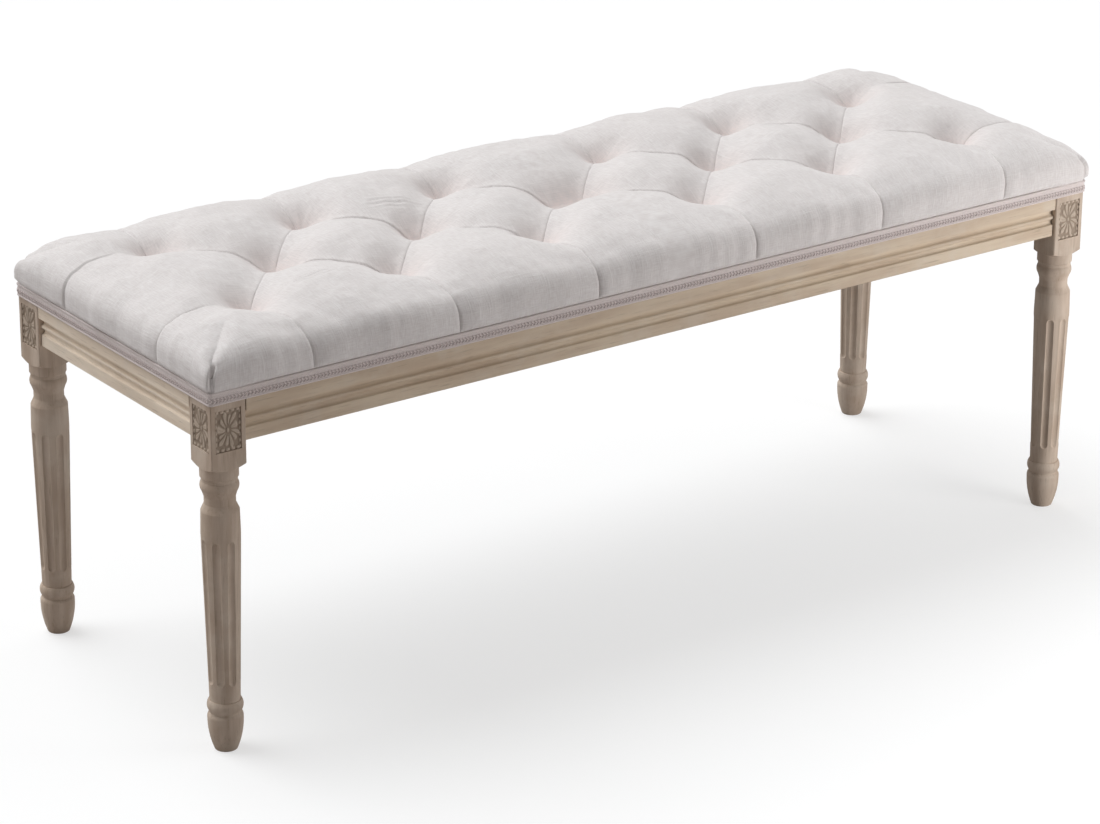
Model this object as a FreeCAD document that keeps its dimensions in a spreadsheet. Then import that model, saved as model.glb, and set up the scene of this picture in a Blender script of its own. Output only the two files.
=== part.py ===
"""An upholstered bench with a deep-tufted seat on four turned and fluted legs.

Millimetres, +Z up, X along the bench. The origin is on the floor under its middle.
Each leg is one turning with a square block left at its top. The moulded rails butt against the
blocks, a screwed wooden brace ties the rails at each corner, and a hanger bolt pulls the leg
against the brace. The seat is a plywood board with foam, wadding and a linen cover whose lower
edge is fixed to the rails and hidden by a woven trim.
"""
import FreeCAD
import Part
import Sketcher
import math
import os

# Driving dimensions: alias, millimetres (or a count), meaning
DIMENSIONS = (
    ("frame_length", 1190, "over the outer faces of the leg blocks, along X"),
    ("frame_width", 401, "over the outer faces of the leg blocks, along Y"),
    ("frame_top", 412, "top of the blocks and rails, under the seat board"),
    ("block_side", 42, "side of the square block at the top of a leg"),
    ("block_bottom", 322.5, "height of the bottom of a block, at the middle of its side"),
    ("shoulder_rise", 4.5, "how far the lathe cut climbs from a block's side to its corner"),
    ("block_edge", 1, "easing of a block's outer edges"),
    ("inner_flat", 7, "cut along each side of a block's inner corner, where the brace bears"),
    ("panel_width", 31, "sunk panel on a block"),
    ("panel_height", 46, "sunk panel on a block"),
    ("panel_bottom", 344.3, "height of the sunk panel's lower edge"),
    ("panel_depth", 2.2, "how deep the panel is sunk"),
    ("foot_radius", 12.6, "flat under a foot"),
    ("foot_easing", 1.2, "rounding round the flat under a foot"),
    ("toe_radius", 19.2, "widest part of the tapered foot"),
    ("toe_height", 35, "height of the foot's widest part"),
    ("toe_bulge", 95, "radius of the foot's swelling side"),
    ("toe_lip", 4.6, "height of the foot's rounded upper lip"),
    ("ankle_radius", 16.8, "groove between the foot and its collar"),
    ("ankle_height", 43, "height of that groove"),
    ("collar_radius", 19.4, "outer radius of the collar bead"),
    ("collar_root", 17.5, "radius of the collar bead's edges"),
    ("collar_low", 45.2, "lower edge of the collar bead"),
    ("collar_high", 57.6, "upper edge of the collar bead"),
    ("shaft_low_radius", 16.4, "shaft above the collar"),
    ("shaft_wide_radius", 21, "shaft at its widest"),
    ("shaft_wide_height", 247, "height of the widest part"),
    ("shaft_top_radius", 20.4, "shaft at its upper edge"),
    ("shaft_top_height", 273.5, "height of the shaft's upper edge"),
    ("neck_radius", 16.7, "narrowest part of the neck"),
    ("neck_low", 281.5, "lower end of the neck"),
    ("neck_high", 289, "upper end of the neck"),
    ("bead_radius", 20.6, "outer radius of the bead over the neck"),
    ("bead_root", 18.8, "radius of that bead's edges"),
    ("bead_low", 295.5, "lower edge of that bead"),
    ("bead_high", 307, "upper edge of that bead"),
    ("quirk_depth", 1.3, "depth of the groove over that bead"),
    ("ring_radius", 20.5, "ring under the block"),
    ("ring_low", 310.5, "lower edge of that ring"),
    ("flute_count", 8, "flutes round a shaft"),
    ("flute_cutter", 6.5, "radius of the cutter that makes a flute"),
    ("flute_depth", 2.2, "depth of a flute"),
    ("flute_low", 77, "lower end of the flutes"),
    ("flute_high", 243, "upper end of the flutes"),
    ("rail_bottom", 350, "height of a rail's lower edge"),
    ("rail_thickness", 22, "from a block's outer face to a rail's inner face"),
    ("rail_gap", 1.2, "assembly gap between a rail's end and a block"),
    ("band_setback", 0.5, "upper band of a rail, behind the block's face"),
    ("band_top", 400, "upper edge of that band, behind the trim"),
    ("band_bottom", 383.5, "lower edge of that band"),
    ("quirk_setback", 3, "top of the upper groove, behind the block's face"),
    ("reed_setback", 5.5, "roots of the reed between the grooves"),
    ("reed_top", 375.5, "upper edge of the reed"),
    ("reed_bottom", 370.5, "lower edge of the reed"),
    ("fillet_top", 364.5, "upper edge of the lower band"),
    ("fillet_setback", 3.5, "lower band, behind the block's face"),
    ("upper_groove_radius", 4.4, "cutter of the upper groove"),
    ("reed_radius", 2.6, "rounding of the reed"),
    ("lower_groove_radius", 3.2, "cutter of the lower groove"),
    ("fillet_easing", 1.5, "rounding of the lower band's upper edge"),
    ("rail_easing", 1, "easing of a rail's lower edge"),
    ("brace_height", 45, "corner brace"),
    ("brace_thickness", 25, "corner brace, square to its long face"),
    ("bolt_radius", 4, "hanger bolt"),
    ("bolt_height", 389.5, "height of the hanger bolt's axis"),
    ("bolt_in_leg", 30, "length of the bolt inside the leg"),
    ("bolt_tail", 3, "bolt past the nut"),
    ("bolt_point", 4, "tapered point of the bolt"),
    ("bolt_easing", 1, "chamfer on the bolt's end, and radius of its point"),
    ("hole_clearance", 0.5, "bolt and screws in their clearance holes, on the radius"),
    ("thread_clearance", 0.1, "bolt and screws in their pilot holes, on the radius"),
    ("washer_radius", 10, "washer under the nut"),
    ("washer_thickness", 2, "washer under the nut"),
    ("nut_across", 13, "nut, across its flats"),
    ("nut_height", 6.5, "nut"),
    ("screw_radius", 2, "shank of a screw"),
    ("screw_head_radius", 4, "head of a screw"),
    ("screw_head_height", 2.5, "head of a screw"),
    ("screw_point", 3, "point of a screw"),
    ("counterbore_radius", 4.6, "recess round a screw's head"),
    ("rail_screw_reach", 52, "from the leg's axis to the screws into a rail, along the rail"),
    ("rail_screw_spread", 24, "between the two screws of a pair"),
    ("rail_screw_grip", 9, "wood of the brace under a screw's head"),
    ("rail_screw_bite", 11, "length of a screw inside a rail"),
    ("seat_screw_offset", 18, "from the bolt's line to a screw into the seat board"),
    ("seat_screw_grip", 20, "wood of the brace under a seat screw's head"),
    ("seat_screw_bite", 10, "length of a screw inside the seat board"),
    ("board_thickness", 15, "plywood seat board"),
    ("board_corner", 6, "corner radius of the seat board"),
    ("tuft_columns", 6, "tufts in the front row and in the back row"),
    ("tuft_pitch", 194, "between tufts of one row"),
    ("tuft_row_offset", 97, "from the middle row to the outer rows"),
    ("twine_radius", 1.2, "tufting twine"),
    ("twine_hole_radius", 3, "hole in the board for the twine"),
    ("anchor_radius", 10, "washer that holds a twine under the board"),
    ("anchor_thickness", 2, "washer that holds a twine under the board"),
    ("anchor_recess_radius", 11.5, "recess in the board's underside"),
    ("anchor_recess_depth", 6, "recess in the board's underside"),
    ("knot_radius", 2.6, "knot under the washer"),
    ("knot_height", 3, "knot under the washer"),
    ("cushion_overhang", 5, "how far the cushion stands past the blocks' faces"),
    ("cushion_top", 475, "height of the cushion's crown"),
    ("cushion_side_top", 430, "where the cushion's straight side ends"),
    ("cushion_edge", 28, "rounding of the cushion's upper edge"),
    ("cushion_roll", 110, "width of the sloping border round the cushion's level middle"),
    ("cushion_corner", 11, "corner radius of the cushion, in plan"),
    ("cover_thickness", 1, "linen cover with its lining"),
    ("layer_clearance", 0.3, "between the soft layers"),
    ("pit_radius", 4, "bottom of a tuft"),
    ("pit_depth", 36, "depth of a tuft under the crown, and the radius of its lip"),
    ("lip_rise", 1.5, "top of the lip's sweep over the crown, so that the two cross at a slope"),
    ("skirt_drop", 13.5, "cover below the cushion, fixed to the frame"),
    ("trim_width", 15, "woven trim"),
    ("trim_thickness", 1.6, "woven trim"),
    ("trim_overlap", 0.5, "trim above the frame's top"),
    ("dust_cover_thickness", 0.5, "non-woven cloth under the seat board"),
    ("dust_cover_margin", 2, "from the dust cover's edge to the rails and braces"),
)

ROOT_TWO = math.sqrt(2)
FULL_TURN = 360
QUARTER_TURN = 90
TOWARDS_CORNER = 135
NUT_SIDES = 6
# Two places closer than this are one place
TOUCH = 0.01
# How far a cutter runs past what it cuts, and how many times too long a stretched section is
CUT_PAST = 1
OVERSIZE = 3

doc = FreeCAD.newDocument("bench")
sheet = doc.addObject("Spreadsheet::Sheet", "sizes")
for row, (alias, number, meaning) in enumerate(DIMENSIONS, start=1):
    sheet.set(f"A{row}", alias)
    sheet.set(f"B{row}", str(number))
    sheet.set(f"C{row}", meaning)
    sheet.setAlias(f"B{row}", alias)
doc.recompute()


class Size:
    """A number worked out from the sheet, and the formula that binds a property to it."""

    def __init__(self, number, formula):
        self.number = float(number)
        self.formula = formula

    def __float__(self):
        return self.number

    def joined(self, sign, other, number):
        return Size(number, f"({self.formula} {sign} {formula_of(other)})")

    def __add__(self, other):
        return self.joined("+", other, self.number + float(other))

    def __radd__(self, other):
        return self + other

    def __sub__(self, other):
        return self.joined("-", other, self.number - float(other))

    def __rsub__(self, other):
        return -self + other

    def __mul__(self, other):
        return self.joined("*", other, self.number * float(other))

    def __rmul__(self, other):
        return self * other

    def __truediv__(self, other):
        return self.joined("/", other, self.number / float(other))

    def __neg__(self):
        return self * -1


def formula_of(value):
    return value.formula if isinstance(value, Size) else repr(float(value))


class Sheet:
    """Reads the sheet's cells by their aliases."""

    def __getattr__(self, alias):
        return Size(sheet.get(alias), f"sizes.{alias}")


dim = Sheet()

# Places that several pieces share
half_block = dim.block_side / 2
leg_x = dim.frame_length / 2 - half_block
leg_y = dim.frame_width / 2 - half_block
rail_inner = dim.rail_thickness - half_block
# The brace's two long faces, as x + y from the leg's axis
brace_near = dim.block_side - dim.inner_flat
brace_far = brace_near + dim.brace_thickness * ROOT_TWO
brace_bottom = dim.frame_top - dim.brace_height
board_top = dim.frame_top + dim.board_thickness
screw_rows = (dim.bolt_height - dim.rail_screw_spread / 2, dim.bolt_height + dim.rail_screw_spread / 2)
screw_seat = rail_inner + dim.rail_screw_grip
seat_screw_line = (brace_near + brace_far) / (2 * ROOT_TWO)
cushion_base = dim.frame_top + dim.trim_overlap
foam_inset = dim.cushion_overhang
pit_bottom = dim.cushion_top - dim.pit_depth

# The four corners: name, direction along X, direction along Y, quarter turns from the front left
CORNERS = (
    ("front_left", -1, -1, 0),
    ("front_right", 1, -1, 1),
    ("back_right", 1, 1, 2),
    ("back_left", -1, 1, 3),
)


def bind(thing, prop, value):
    """Binds a property to a size, or sets it where the value is a plain number."""
    if isinstance(value, Size):
        thing.setExpression(prop, value.formula)
    else:
        setattr(thing, prop, value)


def new_body(name):
    body = doc.addObject("PartDesign::Body", name)
    body.Label = name
    return body


def origin_part(body, role):
    """The body's own origin plane or axis with this role."""
    for feature in body.Origin.OriginFeatures:
        if feature.Role == role:
            return feature
    raise ValueError(role)


def new_sketch(body, name, role, lift=None, offset=None):
    """A sketch on one of the body's origin planes, raised along the plane's normal by lift."""
    sketch = body.newObject("Sketcher::SketchObject", name)
    sketch.AttachmentSupport = (origin_part(body, role), [""])
    sketch.MapMode = "FlatFace"
    if offset is not None:
        sketch.AttachmentOffset = offset
    if lift is not None:
        sketch.setExpression(".AttachmentOffset.Base.z", lift.formula)
    return sketch


def pin_point(sketch, geometry, end, x, y):
    """Ties one end of a drawn line or arc to its distances from the sketch's origin."""
    for kind, value, axis in (("DistanceX", x, -2), ("DistanceY", y, -1)):
        if float(value) == 0:
            sketch.addConstraint(Sketcher.Constraint("PointOnObject", geometry, end, axis))
            continue
        index = sketch.addConstraint(Sketcher.Constraint(kind, -1, 1, geometry, end, float(value)))
        if isinstance(value, Size):
            sketch.setExpression(f"Constraints[{index}]", value.formula)


def arc_between(start, end, radius):
    """The short arc from start to end. A positive radius turns to the left on the way."""
    chord = end - start
    across = FreeCAD.Vector(-chord.y, chord.x, 0) * (math.copysign(1, radius) / chord.Length)
    reach = math.sqrt(max(radius ** 2 - (chord.Length / 2) ** 2, 0))
    centre = (start + end) / 2 + across * reach
    circle = Part.Circle(centre, FreeCAD.Vector(0, 0, 1), abs(radius))
    first, last = (start, end) if radius > 0 else (end, start)
    angles = [math.atan2(point.y - centre.y, point.x - centre.x) for point in (first, last)]
    return Part.ArcOfCircle(circle, angles[0], angles[1])


def draw_outline(sketch, steps):
    """Draws a closed outline. Each step is the point that a side starts from, as (x, y) where a
    line leaves it or (x, y, radius) where an arc does. A positive radius turns left."""
    corners = [FreeCAD.Vector(float(step[0]), float(step[1]), 0) for step in steps]
    ends = []
    for index, step in enumerate(steps):
        start = corners[index]
        end = corners[(index + 1) % len(steps)]
        if len(step) == 2:
            side = sketch.addGeometry(Part.LineSegment(start, end), False)
            ends.append((side, 1, 2))
            continue
        side = sketch.addGeometry(arc_between(start, end, float(step[2])), False)
        ends.append((side, 1, 2) if float(step[2]) > 0 else (side, 2, 1))
        rounding = sketch.addConstraint(Sketcher.Constraint("Radius", side, abs(float(step[2]))))
        size = step[2] if float(step[2]) > 0 else -step[2]
        if isinstance(size, Size):
            sketch.setExpression(f"Constraints[{rounding}]", size.formula)
    for index, (side, start_end, last_end) in enumerate(ends):
        following = ends[(index + 1) % len(ends)]
        sketch.addConstraint(
            Sketcher.Constraint("Coincident", side, last_end, following[0], following[1]))
        pin_point(sketch, side, start_end, steps[index][0], steps[index][1])


def draw_circle(sketch, x, y, radius):
    centre = FreeCAD.Vector(float(x), float(y), 0)
    ring = sketch.addGeometry(Part.Circle(centre, FreeCAD.Vector(0, 0, 1), float(radius)), False)
    index = sketch.addConstraint(Sketcher.Constraint("Radius", ring, float(radius)))
    if isinstance(radius, Size):
        sketch.setExpression(f"Constraints[{index}]", radius.formula)
    pin_point(sketch, ring, 3, x, y)


def rectangle(half_x, half_y):
    return [(-half_x, -half_y), (half_x, -half_y), (half_x, half_y), (-half_x, half_y)]


def rounded_rectangle(half_x, half_y, radius):
    """A rectangle's outline with round corners, in the form that draw_outline reads."""
    flat_x = half_x - radius
    flat_y = half_y - radius
    return [
        (-flat_x, -half_y), (flat_x, -half_y, radius),
        (half_x, -flat_y), (half_x, flat_y, radius),
        (flat_x, half_y), (-flat_x, half_y, radius),
        (-half_x, flat_y), (-half_x, -flat_y, radius),
    ]


def feature(body, kind, name, sketch, **settings):
    """A PartDesign feature on a sketch. Its settings are sizes or plain values."""
    made = body.newObject(f"PartDesign::{kind}", name)
    made.Profile = sketch
    for prop, value in settings.items():
        bind(made, prop, value)
    sketch.Visibility = False
    return made


def round_axis(made, sketch, axis="V_Axis"):
    made.ReferenceAxis = (sketch, [axis])
    made.Angle = FULL_TURN


def place(thing, x, y, z, turns=0):
    """Puts a piece at a place bound to the sheet, turned about Z by quarter turns."""
    thing.Placement = FreeCAD.Placement(
        FreeCAD.Vector(float(x), float(y), float(z)),
        FreeCAD.Rotation(FreeCAD.Vector(0, 0, 1), turns * QUARTER_TURN))
    for axis, value in (("x", x), ("y", y), ("z", z)):
        if isinstance(value, Size):
            thing.setExpression(f".Placement.Base.{axis}", value.formula)


def vertical_edges(shape, wanted):
    """Names of the straight upright edges whose middle passes the test."""
    names = []
    for index, edge in enumerate(shape.Edges, start=1):
        box = edge.BoundBox
        upright = box.ZLength > TOUCH and box.XLength < TOUCH and box.YLength < TOUCH
        if upright and wanted(box.Center):
            names.append(f"Edge{index}")
    return names


# Leg

def swell_radius(height, rise):
    """Radius of the arc that spans a height and stands out by a rise at its middle."""
    return height * height / (rise * 8) + rise / 2


def upright_start_radius(inwards, rise):
    """Radius of the arc that starts upright and moves inwards over a rise."""
    return (inwards * inwards + rise * rise) / (2 * inwards)


def turned_outline():
    """The turning's half outline, from the floor up to inside the block."""
    foot_flat = dim.foot_radius - dim.foot_easing
    lip_curve = upright_start_radius(dim.toe_radius - dim.ankle_radius, dim.toe_lip)
    lip_start = dim.ankle_height - dim.toe_lip
    inside_block = dim.block_bottom + dim.shoulder_rise
    ring_quirk = dim.ring_radius - dim.quirk_depth
    collar_curve = swell_radius(dim.collar_high - dim.collar_low, dim.collar_radius - dim.collar_root)
    bead_curve = swell_radius(dim.bead_high - dim.bead_low, dim.bead_radius - dim.bead_root)
    return [
        (0, 0),
        (foot_flat, 0, dim.foot_easing),
        (dim.foot_radius, dim.foot_easing, dim.toe_bulge),
        (dim.toe_radius, dim.toe_height),
        (dim.toe_radius, lip_start, lip_curve),
        (dim.ankle_radius, dim.ankle_height),
        (dim.ankle_radius, dim.collar_low),
        (dim.collar_root, dim.collar_low, collar_curve),
        (dim.collar_root, dim.collar_high),
        (dim.shaft_low_radius, dim.collar_high),
        (dim.shaft_wide_radius, dim.shaft_wide_height),
        (dim.shaft_top_radius, dim.shaft_top_height),
        (dim.neck_radius, dim.neck_low),
        (dim.neck_radius, dim.neck_high),
        (dim.bead_root, dim.bead_low, bead_curve),
        (dim.bead_root, dim.bead_high),
        (ring_quirk, dim.bead_high),
        (ring_quirk, dim.ring_low),
        (dim.ring_radius, dim.ring_low + dim.quirk_depth),
        (dim.ring_radius, inside_block),
        (0, inside_block),
    ]


def build_leg(name, side_x, side_y, turns):
    """A leg as it stands at the front left, with its panels on the -X and -Y faces."""
    body = new_body(name)
    outline = new_sketch(body, f"{name}_turning", "XZ_Plane")
    draw_outline(outline, turned_outline())
    turning = feature(body, "Revolution", f"{name}_shaft", outline)
    round_axis(turning, outline)

    square = new_sketch(body, f"{name}_square", "XY_Plane", lift=dim.block_bottom)
    draw_outline(square, rectangle(half_block, half_block))
    block = feature(body, "Pad", f"{name}_block", square, Length=dim.frame_top - dim.block_bottom)
    doc.recompute()

    limit = float(half_block) - TOUCH
    eased = body.newObject("PartDesign::Chamfer", f"{name}_eased")
    outer = vertical_edges(block.Shape, lambda at: max(abs(at.x), abs(at.y)) > limit
                           and min(at.x, at.y) < -limit)
    eased.Base = (block, outer)
    bind(eased, "Size", dim.block_edge)
    doc.recompute()
    flat = body.newObject("PartDesign::Chamfer", f"{name}_bearing")
    flat.Base = (eased, vertical_edges(eased.Shape, lambda at: min(at.x, at.y) > limit))
    bind(flat, "Size", dim.inner_flat)

    reach = dim.block_side
    climb = dim.shoulder_rise * ((reach - half_block) / (half_block * ROOT_TWO - half_block))
    slope = new_sketch(body, f"{name}_slope", "XZ_Plane")
    draw_outline(slope, [
        (half_block, dim.block_bottom), (reach, dim.block_bottom), (reach, dim.block_bottom + climb)])
    shoulder = feature(body, "Groove", f"{name}_shoulder", slope)
    round_axis(shoulder, slope)

    panel_top = dim.panel_bottom + dim.panel_height
    window = [
        (-dim.panel_width / 2, dim.panel_bottom), (dim.panel_width / 2, dim.panel_bottom),
        (dim.panel_width / 2, panel_top), (-dim.panel_width / 2, panel_top)]
    front = new_sketch(body, f"{name}_front_window", "XZ_Plane", lift=half_block)
    draw_outline(front, window)
    feature(body, "Pocket", f"{name}_front_panel", front, Length=dim.panel_depth)
    side = new_sketch(body, f"{name}_side_window", "YZ_Plane", lift=-half_block)
    draw_outline(side, window)
    feature(body, "Pocket", f"{name}_side_panel", side, Length=dim.panel_depth, Reversed=True)

    across = FreeCAD.Rotation(FreeCAD.Vector(0, 1, 0), TOWARDS_CORNER)
    bearing = (dim.block_side - dim.inner_flat) / 2
    entry = FreeCAD.Placement(FreeCAD.Vector(float(bearing), 0, -float(bearing)), across)
    mouth = new_sketch(body, f"{name}_bolt_mouth", "XZ_Plane", offset=entry)
    mouth.setExpression(".AttachmentOffset.Base.x", bearing.formula)
    mouth.setExpression(".AttachmentOffset.Base.z", (-bearing).formula)
    draw_circle(mouth, 0, dim.bolt_height, dim.bolt_radius + dim.thread_clearance)
    feature(body, "Pocket", f"{name}_bolt_hole", mouth, Length=dim.bolt_in_leg)

    cut_flutes(body, name)
    place(body, side_x * leg_x, side_y * leg_y, 0, turns)
    return body


def shaft_radius_at(height):
    """Radius of the tapering shaft at a height below its widest part."""
    run = dim.shaft_wide_height - dim.collar_high
    gain = dim.shaft_wide_radius - dim.shaft_low_radius
    return dim.shaft_low_radius + gain * ((height - dim.collar_high) / run)


def cut_flutes(body, name):
    """Cuts one round-ended flute along the taper and repeats it round the shaft."""
    outward = dim.flute_cutter - dim.flute_depth
    low = FreeCAD.Vector(float(shaft_radius_at(dim.flute_low) + outward), float(dim.flute_low), 0)
    high = FreeCAD.Vector(float(shaft_radius_at(dim.flute_high) + outward), float(dim.flute_high), 0)
    along = (high - low).normalize()
    inward = FreeCAD.Vector(-along.y, along.x, 0)
    cutter = float(dim.flute_cutter)
    tip = math.sqrt(cutter ** 2 - float(outward) ** 2)
    near_low = low + along * tip
    near_high = high - along * tip
    sketch = new_sketch(body, f"{name}_cutter", "XZ_Plane")
    top_point = near_high + along * cutter
    low_point = near_low - along * cutter
    top_side = near_high + inward * cutter
    low_side = near_low + inward * cutter
    draw_outline(sketch, [
        (low_point.x, low_point.y), (top_point.x, top_point.y, cutter),
        (top_side.x, top_side.y), (low_side.x, low_side.y, cutter)])
    sketch.addGeometry(Part.LineSegment(low_point, top_point), True)
    groove = feature(body, "Groove", f"{name}_flute", sketch)
    round_axis(groove, sketch, "Axis0")
    doc.recompute()
    pattern = body.newObject("PartDesign::PolarPattern", f"{name}_flutes")
    pattern.Originals = [groove]
    pattern.Axis = (origin_part(body, "Z_Axis"), [""])
    pattern.Angle = FULL_TURN
    bind(pattern, "Occurrences", dim.flute_count)
    body.Tip = pattern


# Rails

def rail_outline():
    """Section of a rail: x is the depth behind the blocks' outer face, y is the height."""
    lower_band = dim.fillet_top - dim.fillet_easing
    return [
        (0, dim.frame_top),
        (0, dim.band_top),
        (dim.band_setback, dim.band_top),
        (dim.band_setback, dim.band_bottom),
        (dim.quirk_setback, dim.band_bottom, -dim.upper_groove_radius),
        (dim.reed_setback, dim.reed_top, dim.reed_radius),
        (dim.reed_setback, dim.reed_bottom, -dim.lower_groove_radius),
        (dim.fillet_setback + dim.fillet_easing, dim.fillet_top, dim.fillet_easing),
        (dim.fillet_setback, lower_band),
        (dim.fillet_setback, dim.rail_bottom + dim.rail_easing),
        (dim.fillet_setback + dim.rail_easing, dim.rail_bottom),
        (dim.rail_thickness, dim.rail_bottom),
        (dim.rail_thickness, dim.frame_top),
    ]


def build_rail(name, length, x, y, turns):
    """A rail as it lies on the left, along Y, with its moulded face towards -X."""
    body = new_body(name)
    section = new_sketch(body, f"{name}_section", "XZ_Plane")
    draw_outline(section, rail_outline())
    feature(body, "Pad", f"{name}_stick", section, Length=length, Midplane=True)
    for at_end in (-1, 1):
        for row, height in enumerate(screw_rows):
            end = "start" if at_end < 0 else "finish"
            reach = at_end * (length / 2 + dim.rail_gap + half_block - dim.rail_screw_reach)
            pilot = new_sketch(body, f"{name}_{end}_pilot_{row}", "YZ_Plane", lift=dim.rail_thickness)
            draw_circle(pilot, reach, height, dim.screw_radius + dim.thread_clearance)
            feature(body, "Pocket", f"{name}_{end}_hole_{row}", pilot, Length=dim.rail_screw_bite)
    place(body, x, y, 0, turns)
    return body


# Corner braces and their fasteners

def diagonal(sideways):
    """Where a line runs that is parallel to the corner's diagonal, from the leg's axis."""
    return (seat_screw_line + sideways) / ROOT_TWO, (seat_screw_line - sideways) / ROOT_TWO


def build_brace(name, side_x, side_y, turns):
    """A brace as it sits at the front left, with the leg's axis at its origin."""
    body = new_body(name)
    plan = new_sketch(body, f"{name}_plan", "XY_Plane", lift=brace_bottom)
    draw_outline(plan, [
        (brace_near - rail_inner, rail_inner), (brace_far - rail_inner, rail_inner),
        (rail_inner, brace_far - rail_inner), (rail_inner, brace_near - rail_inner)])
    feature(body, "Pad", f"{name}_wood", plan, Length=dim.brace_height)

    across = FreeCAD.Rotation(FreeCAD.Vector(0, 1, 0), TOWARDS_CORNER)
    face = brace_far / 2
    exit_place = FreeCAD.Placement(FreeCAD.Vector(float(face), 0, -float(face)), across)
    mouth = new_sketch(body, f"{name}_bolt_mouth", "XZ_Plane", offset=exit_place)
    mouth.setExpression(".AttachmentOffset.Base.x", face.formula)
    mouth.setExpression(".AttachmentOffset.Base.z", (-face).formula)
    draw_circle(mouth, 0, dim.bolt_height, dim.bolt_radius + dim.hole_clearance)
    feature(body, "Pocket", f"{name}_bolt_hole", mouth, Length=dim.brace_thickness)

    hole = dim.screw_radius + dim.hole_clearance
    for row, height in enumerate(screw_rows):
        for plane, sign, back in (("XZ_Plane", -1, False), ("YZ_Plane", 1, True)):
            clear = new_sketch(body, f"{name}_{plane[:2]}_clear_{row}", plane, lift=sign * rail_inner)
            draw_circle(clear, dim.rail_screw_reach, height, hole)
            feature(body, "Pocket", f"{name}_{plane[:2]}_hole_{row}", clear,
                    Length=dim.rail_screw_grip, Reversed=back)
            recess = new_sketch(body, f"{name}_{plane[:2]}_seat_{row}", plane, lift=sign * screw_seat)
            draw_circle(recess, dim.rail_screw_reach, height, dim.counterbore_radius)
            feature(body, "Pocket", f"{name}_{plane[:2]}_recess_{row}", recess,
                    Length=brace_far, Reversed=back)
    for index, sideways in enumerate((dim.seat_screw_offset, -dim.seat_screw_offset)):
        x, y = diagonal(sideways)
        clear = new_sketch(body, f"{name}_seat_clear_{index}", "XY_Plane", lift=dim.frame_top)
        draw_circle(clear, x, y, hole)
        feature(body, "Pocket", f"{name}_seat_hole_{index}", clear, Length=dim.brace_height)
        recess = new_sketch(body, f"{name}_seat_seat_{index}", "XY_Plane",
                            lift=dim.frame_top - dim.seat_screw_grip)
        draw_circle(recess, x, y, dim.counterbore_radius)
        feature(body, "Pocket", f"{name}_seat_recess_{index}", recess, Length=dim.brace_height)
    place(body, side_x * leg_x, side_y * leg_y, 0, turns)
    return body


def lay_on_diagonal(body, distance, side_x, side_y, turns):
    """Turns a piece drawn along Z so that it points inwards along the corner's diagonal."""
    inwards = FreeCAD.Vector(-side_x, -side_y, 0).normalize()
    foot = FreeCAD.Vector(side_x * float(leg_x), side_y * float(leg_y), float(dim.bolt_height))
    body.Placement = FreeCAD.Placement(
        foot + inwards * float(distance), FreeCAD.Rotation(FreeCAD.Vector(0, 0, 1), inwards))
    body.setExpression(".Placement.Base.x", (side_x * (leg_x - distance / ROOT_TWO)).formula)
    body.setExpression(".Placement.Base.y", (side_y * (leg_y - distance / ROOT_TWO)).formula)
    body.setExpression(".Placement.Base.z", dim.bolt_height.formula)


def build_bolt(name, corner):
    """A hanger bolt: one end is screwed into the leg, the other carries the washer and nut."""
    body = new_body(name)
    length = (dim.bolt_in_leg + dim.brace_thickness + dim.washer_thickness + dim.nut_height
              + dim.bolt_tail)
    outline = new_sketch(body, f"{name}_outline", "XZ_Plane")
    draw_outline(outline, [
        (0, 0), (dim.bolt_easing, 0), (dim.bolt_radius, dim.bolt_point),
        (dim.bolt_radius, length - dim.bolt_easing), (dim.bolt_radius - dim.bolt_easing, length),
        (0, length)])
    turned = feature(body, "Revolution", f"{name}_rod", outline)
    round_axis(turned, outline)
    lay_on_diagonal(body, brace_near / ROOT_TWO - dim.bolt_in_leg, *corner)
    return body


def build_washer(name, corner):
    body = new_body(name)
    ring = new_sketch(body, f"{name}_ring", "XY_Plane")
    draw_circle(ring, 0, 0, dim.washer_radius)
    draw_circle(ring, 0, 0, dim.bolt_radius + dim.hole_clearance)
    feature(body, "Pad", f"{name}_disc", ring, Length=dim.washer_thickness)
    lay_on_diagonal(body, brace_far / ROOT_TWO, *corner)
    return body


def build_nut(name, corner):
    body = new_body(name)
    reach = dim.nut_across / 2 / math.cos(math.pi / NUT_SIDES)
    flats = new_sketch(body, f"{name}_flats", "XY_Plane")
    points = []
    for index in range(NUT_SIDES):
        angle = 2 * math.pi * index / NUT_SIDES
        points.append((reach * math.cos(angle), reach * round(math.sin(angle), 9)))
    draw_outline(flats, points)
    draw_circle(flats, 0, 0, dim.bolt_radius + dim.thread_clearance)
    feature(body, "Pad", f"{name}_hex", flats, Length=dim.nut_height)
    lay_on_diagonal(body, brace_far / ROOT_TWO + dim.washer_thickness, *corner)
    return body


def screw_shape(grip_and_bite):
    """A pan-head screw that points along -Z, with the underside of its head at the origin."""
    shank = float(dim.screw_radius)
    length = float(grip_and_bite)
    point = float(dim.screw_point)
    rod = Part.makeCylinder(shank, length - point, FreeCAD.Vector(0, 0, point - length))
    tip = Part.makeCone(0, shank, point, FreeCAD.Vector(0, 0, -length))
    head = Part.makeCylinder(float(dim.screw_head_radius), float(dim.screw_head_height))
    return rod.fuse([tip, head]).removeSplitter()


def group_of(name, shape, places):
    """One node with a separate copy of the shape at each place."""
    copies = []
    for at, towards in places:
        copy = shape.copy()
        copy.Placement = FreeCAD.Placement(at, FreeCAD.Rotation(FreeCAD.Vector(0, 0, 1), towards))
        copies.append(copy)
    group = doc.addObject("Part::Feature", name)
    group.Label = name
    group.Shape = Part.makeCompound(copies)
    return group


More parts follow.
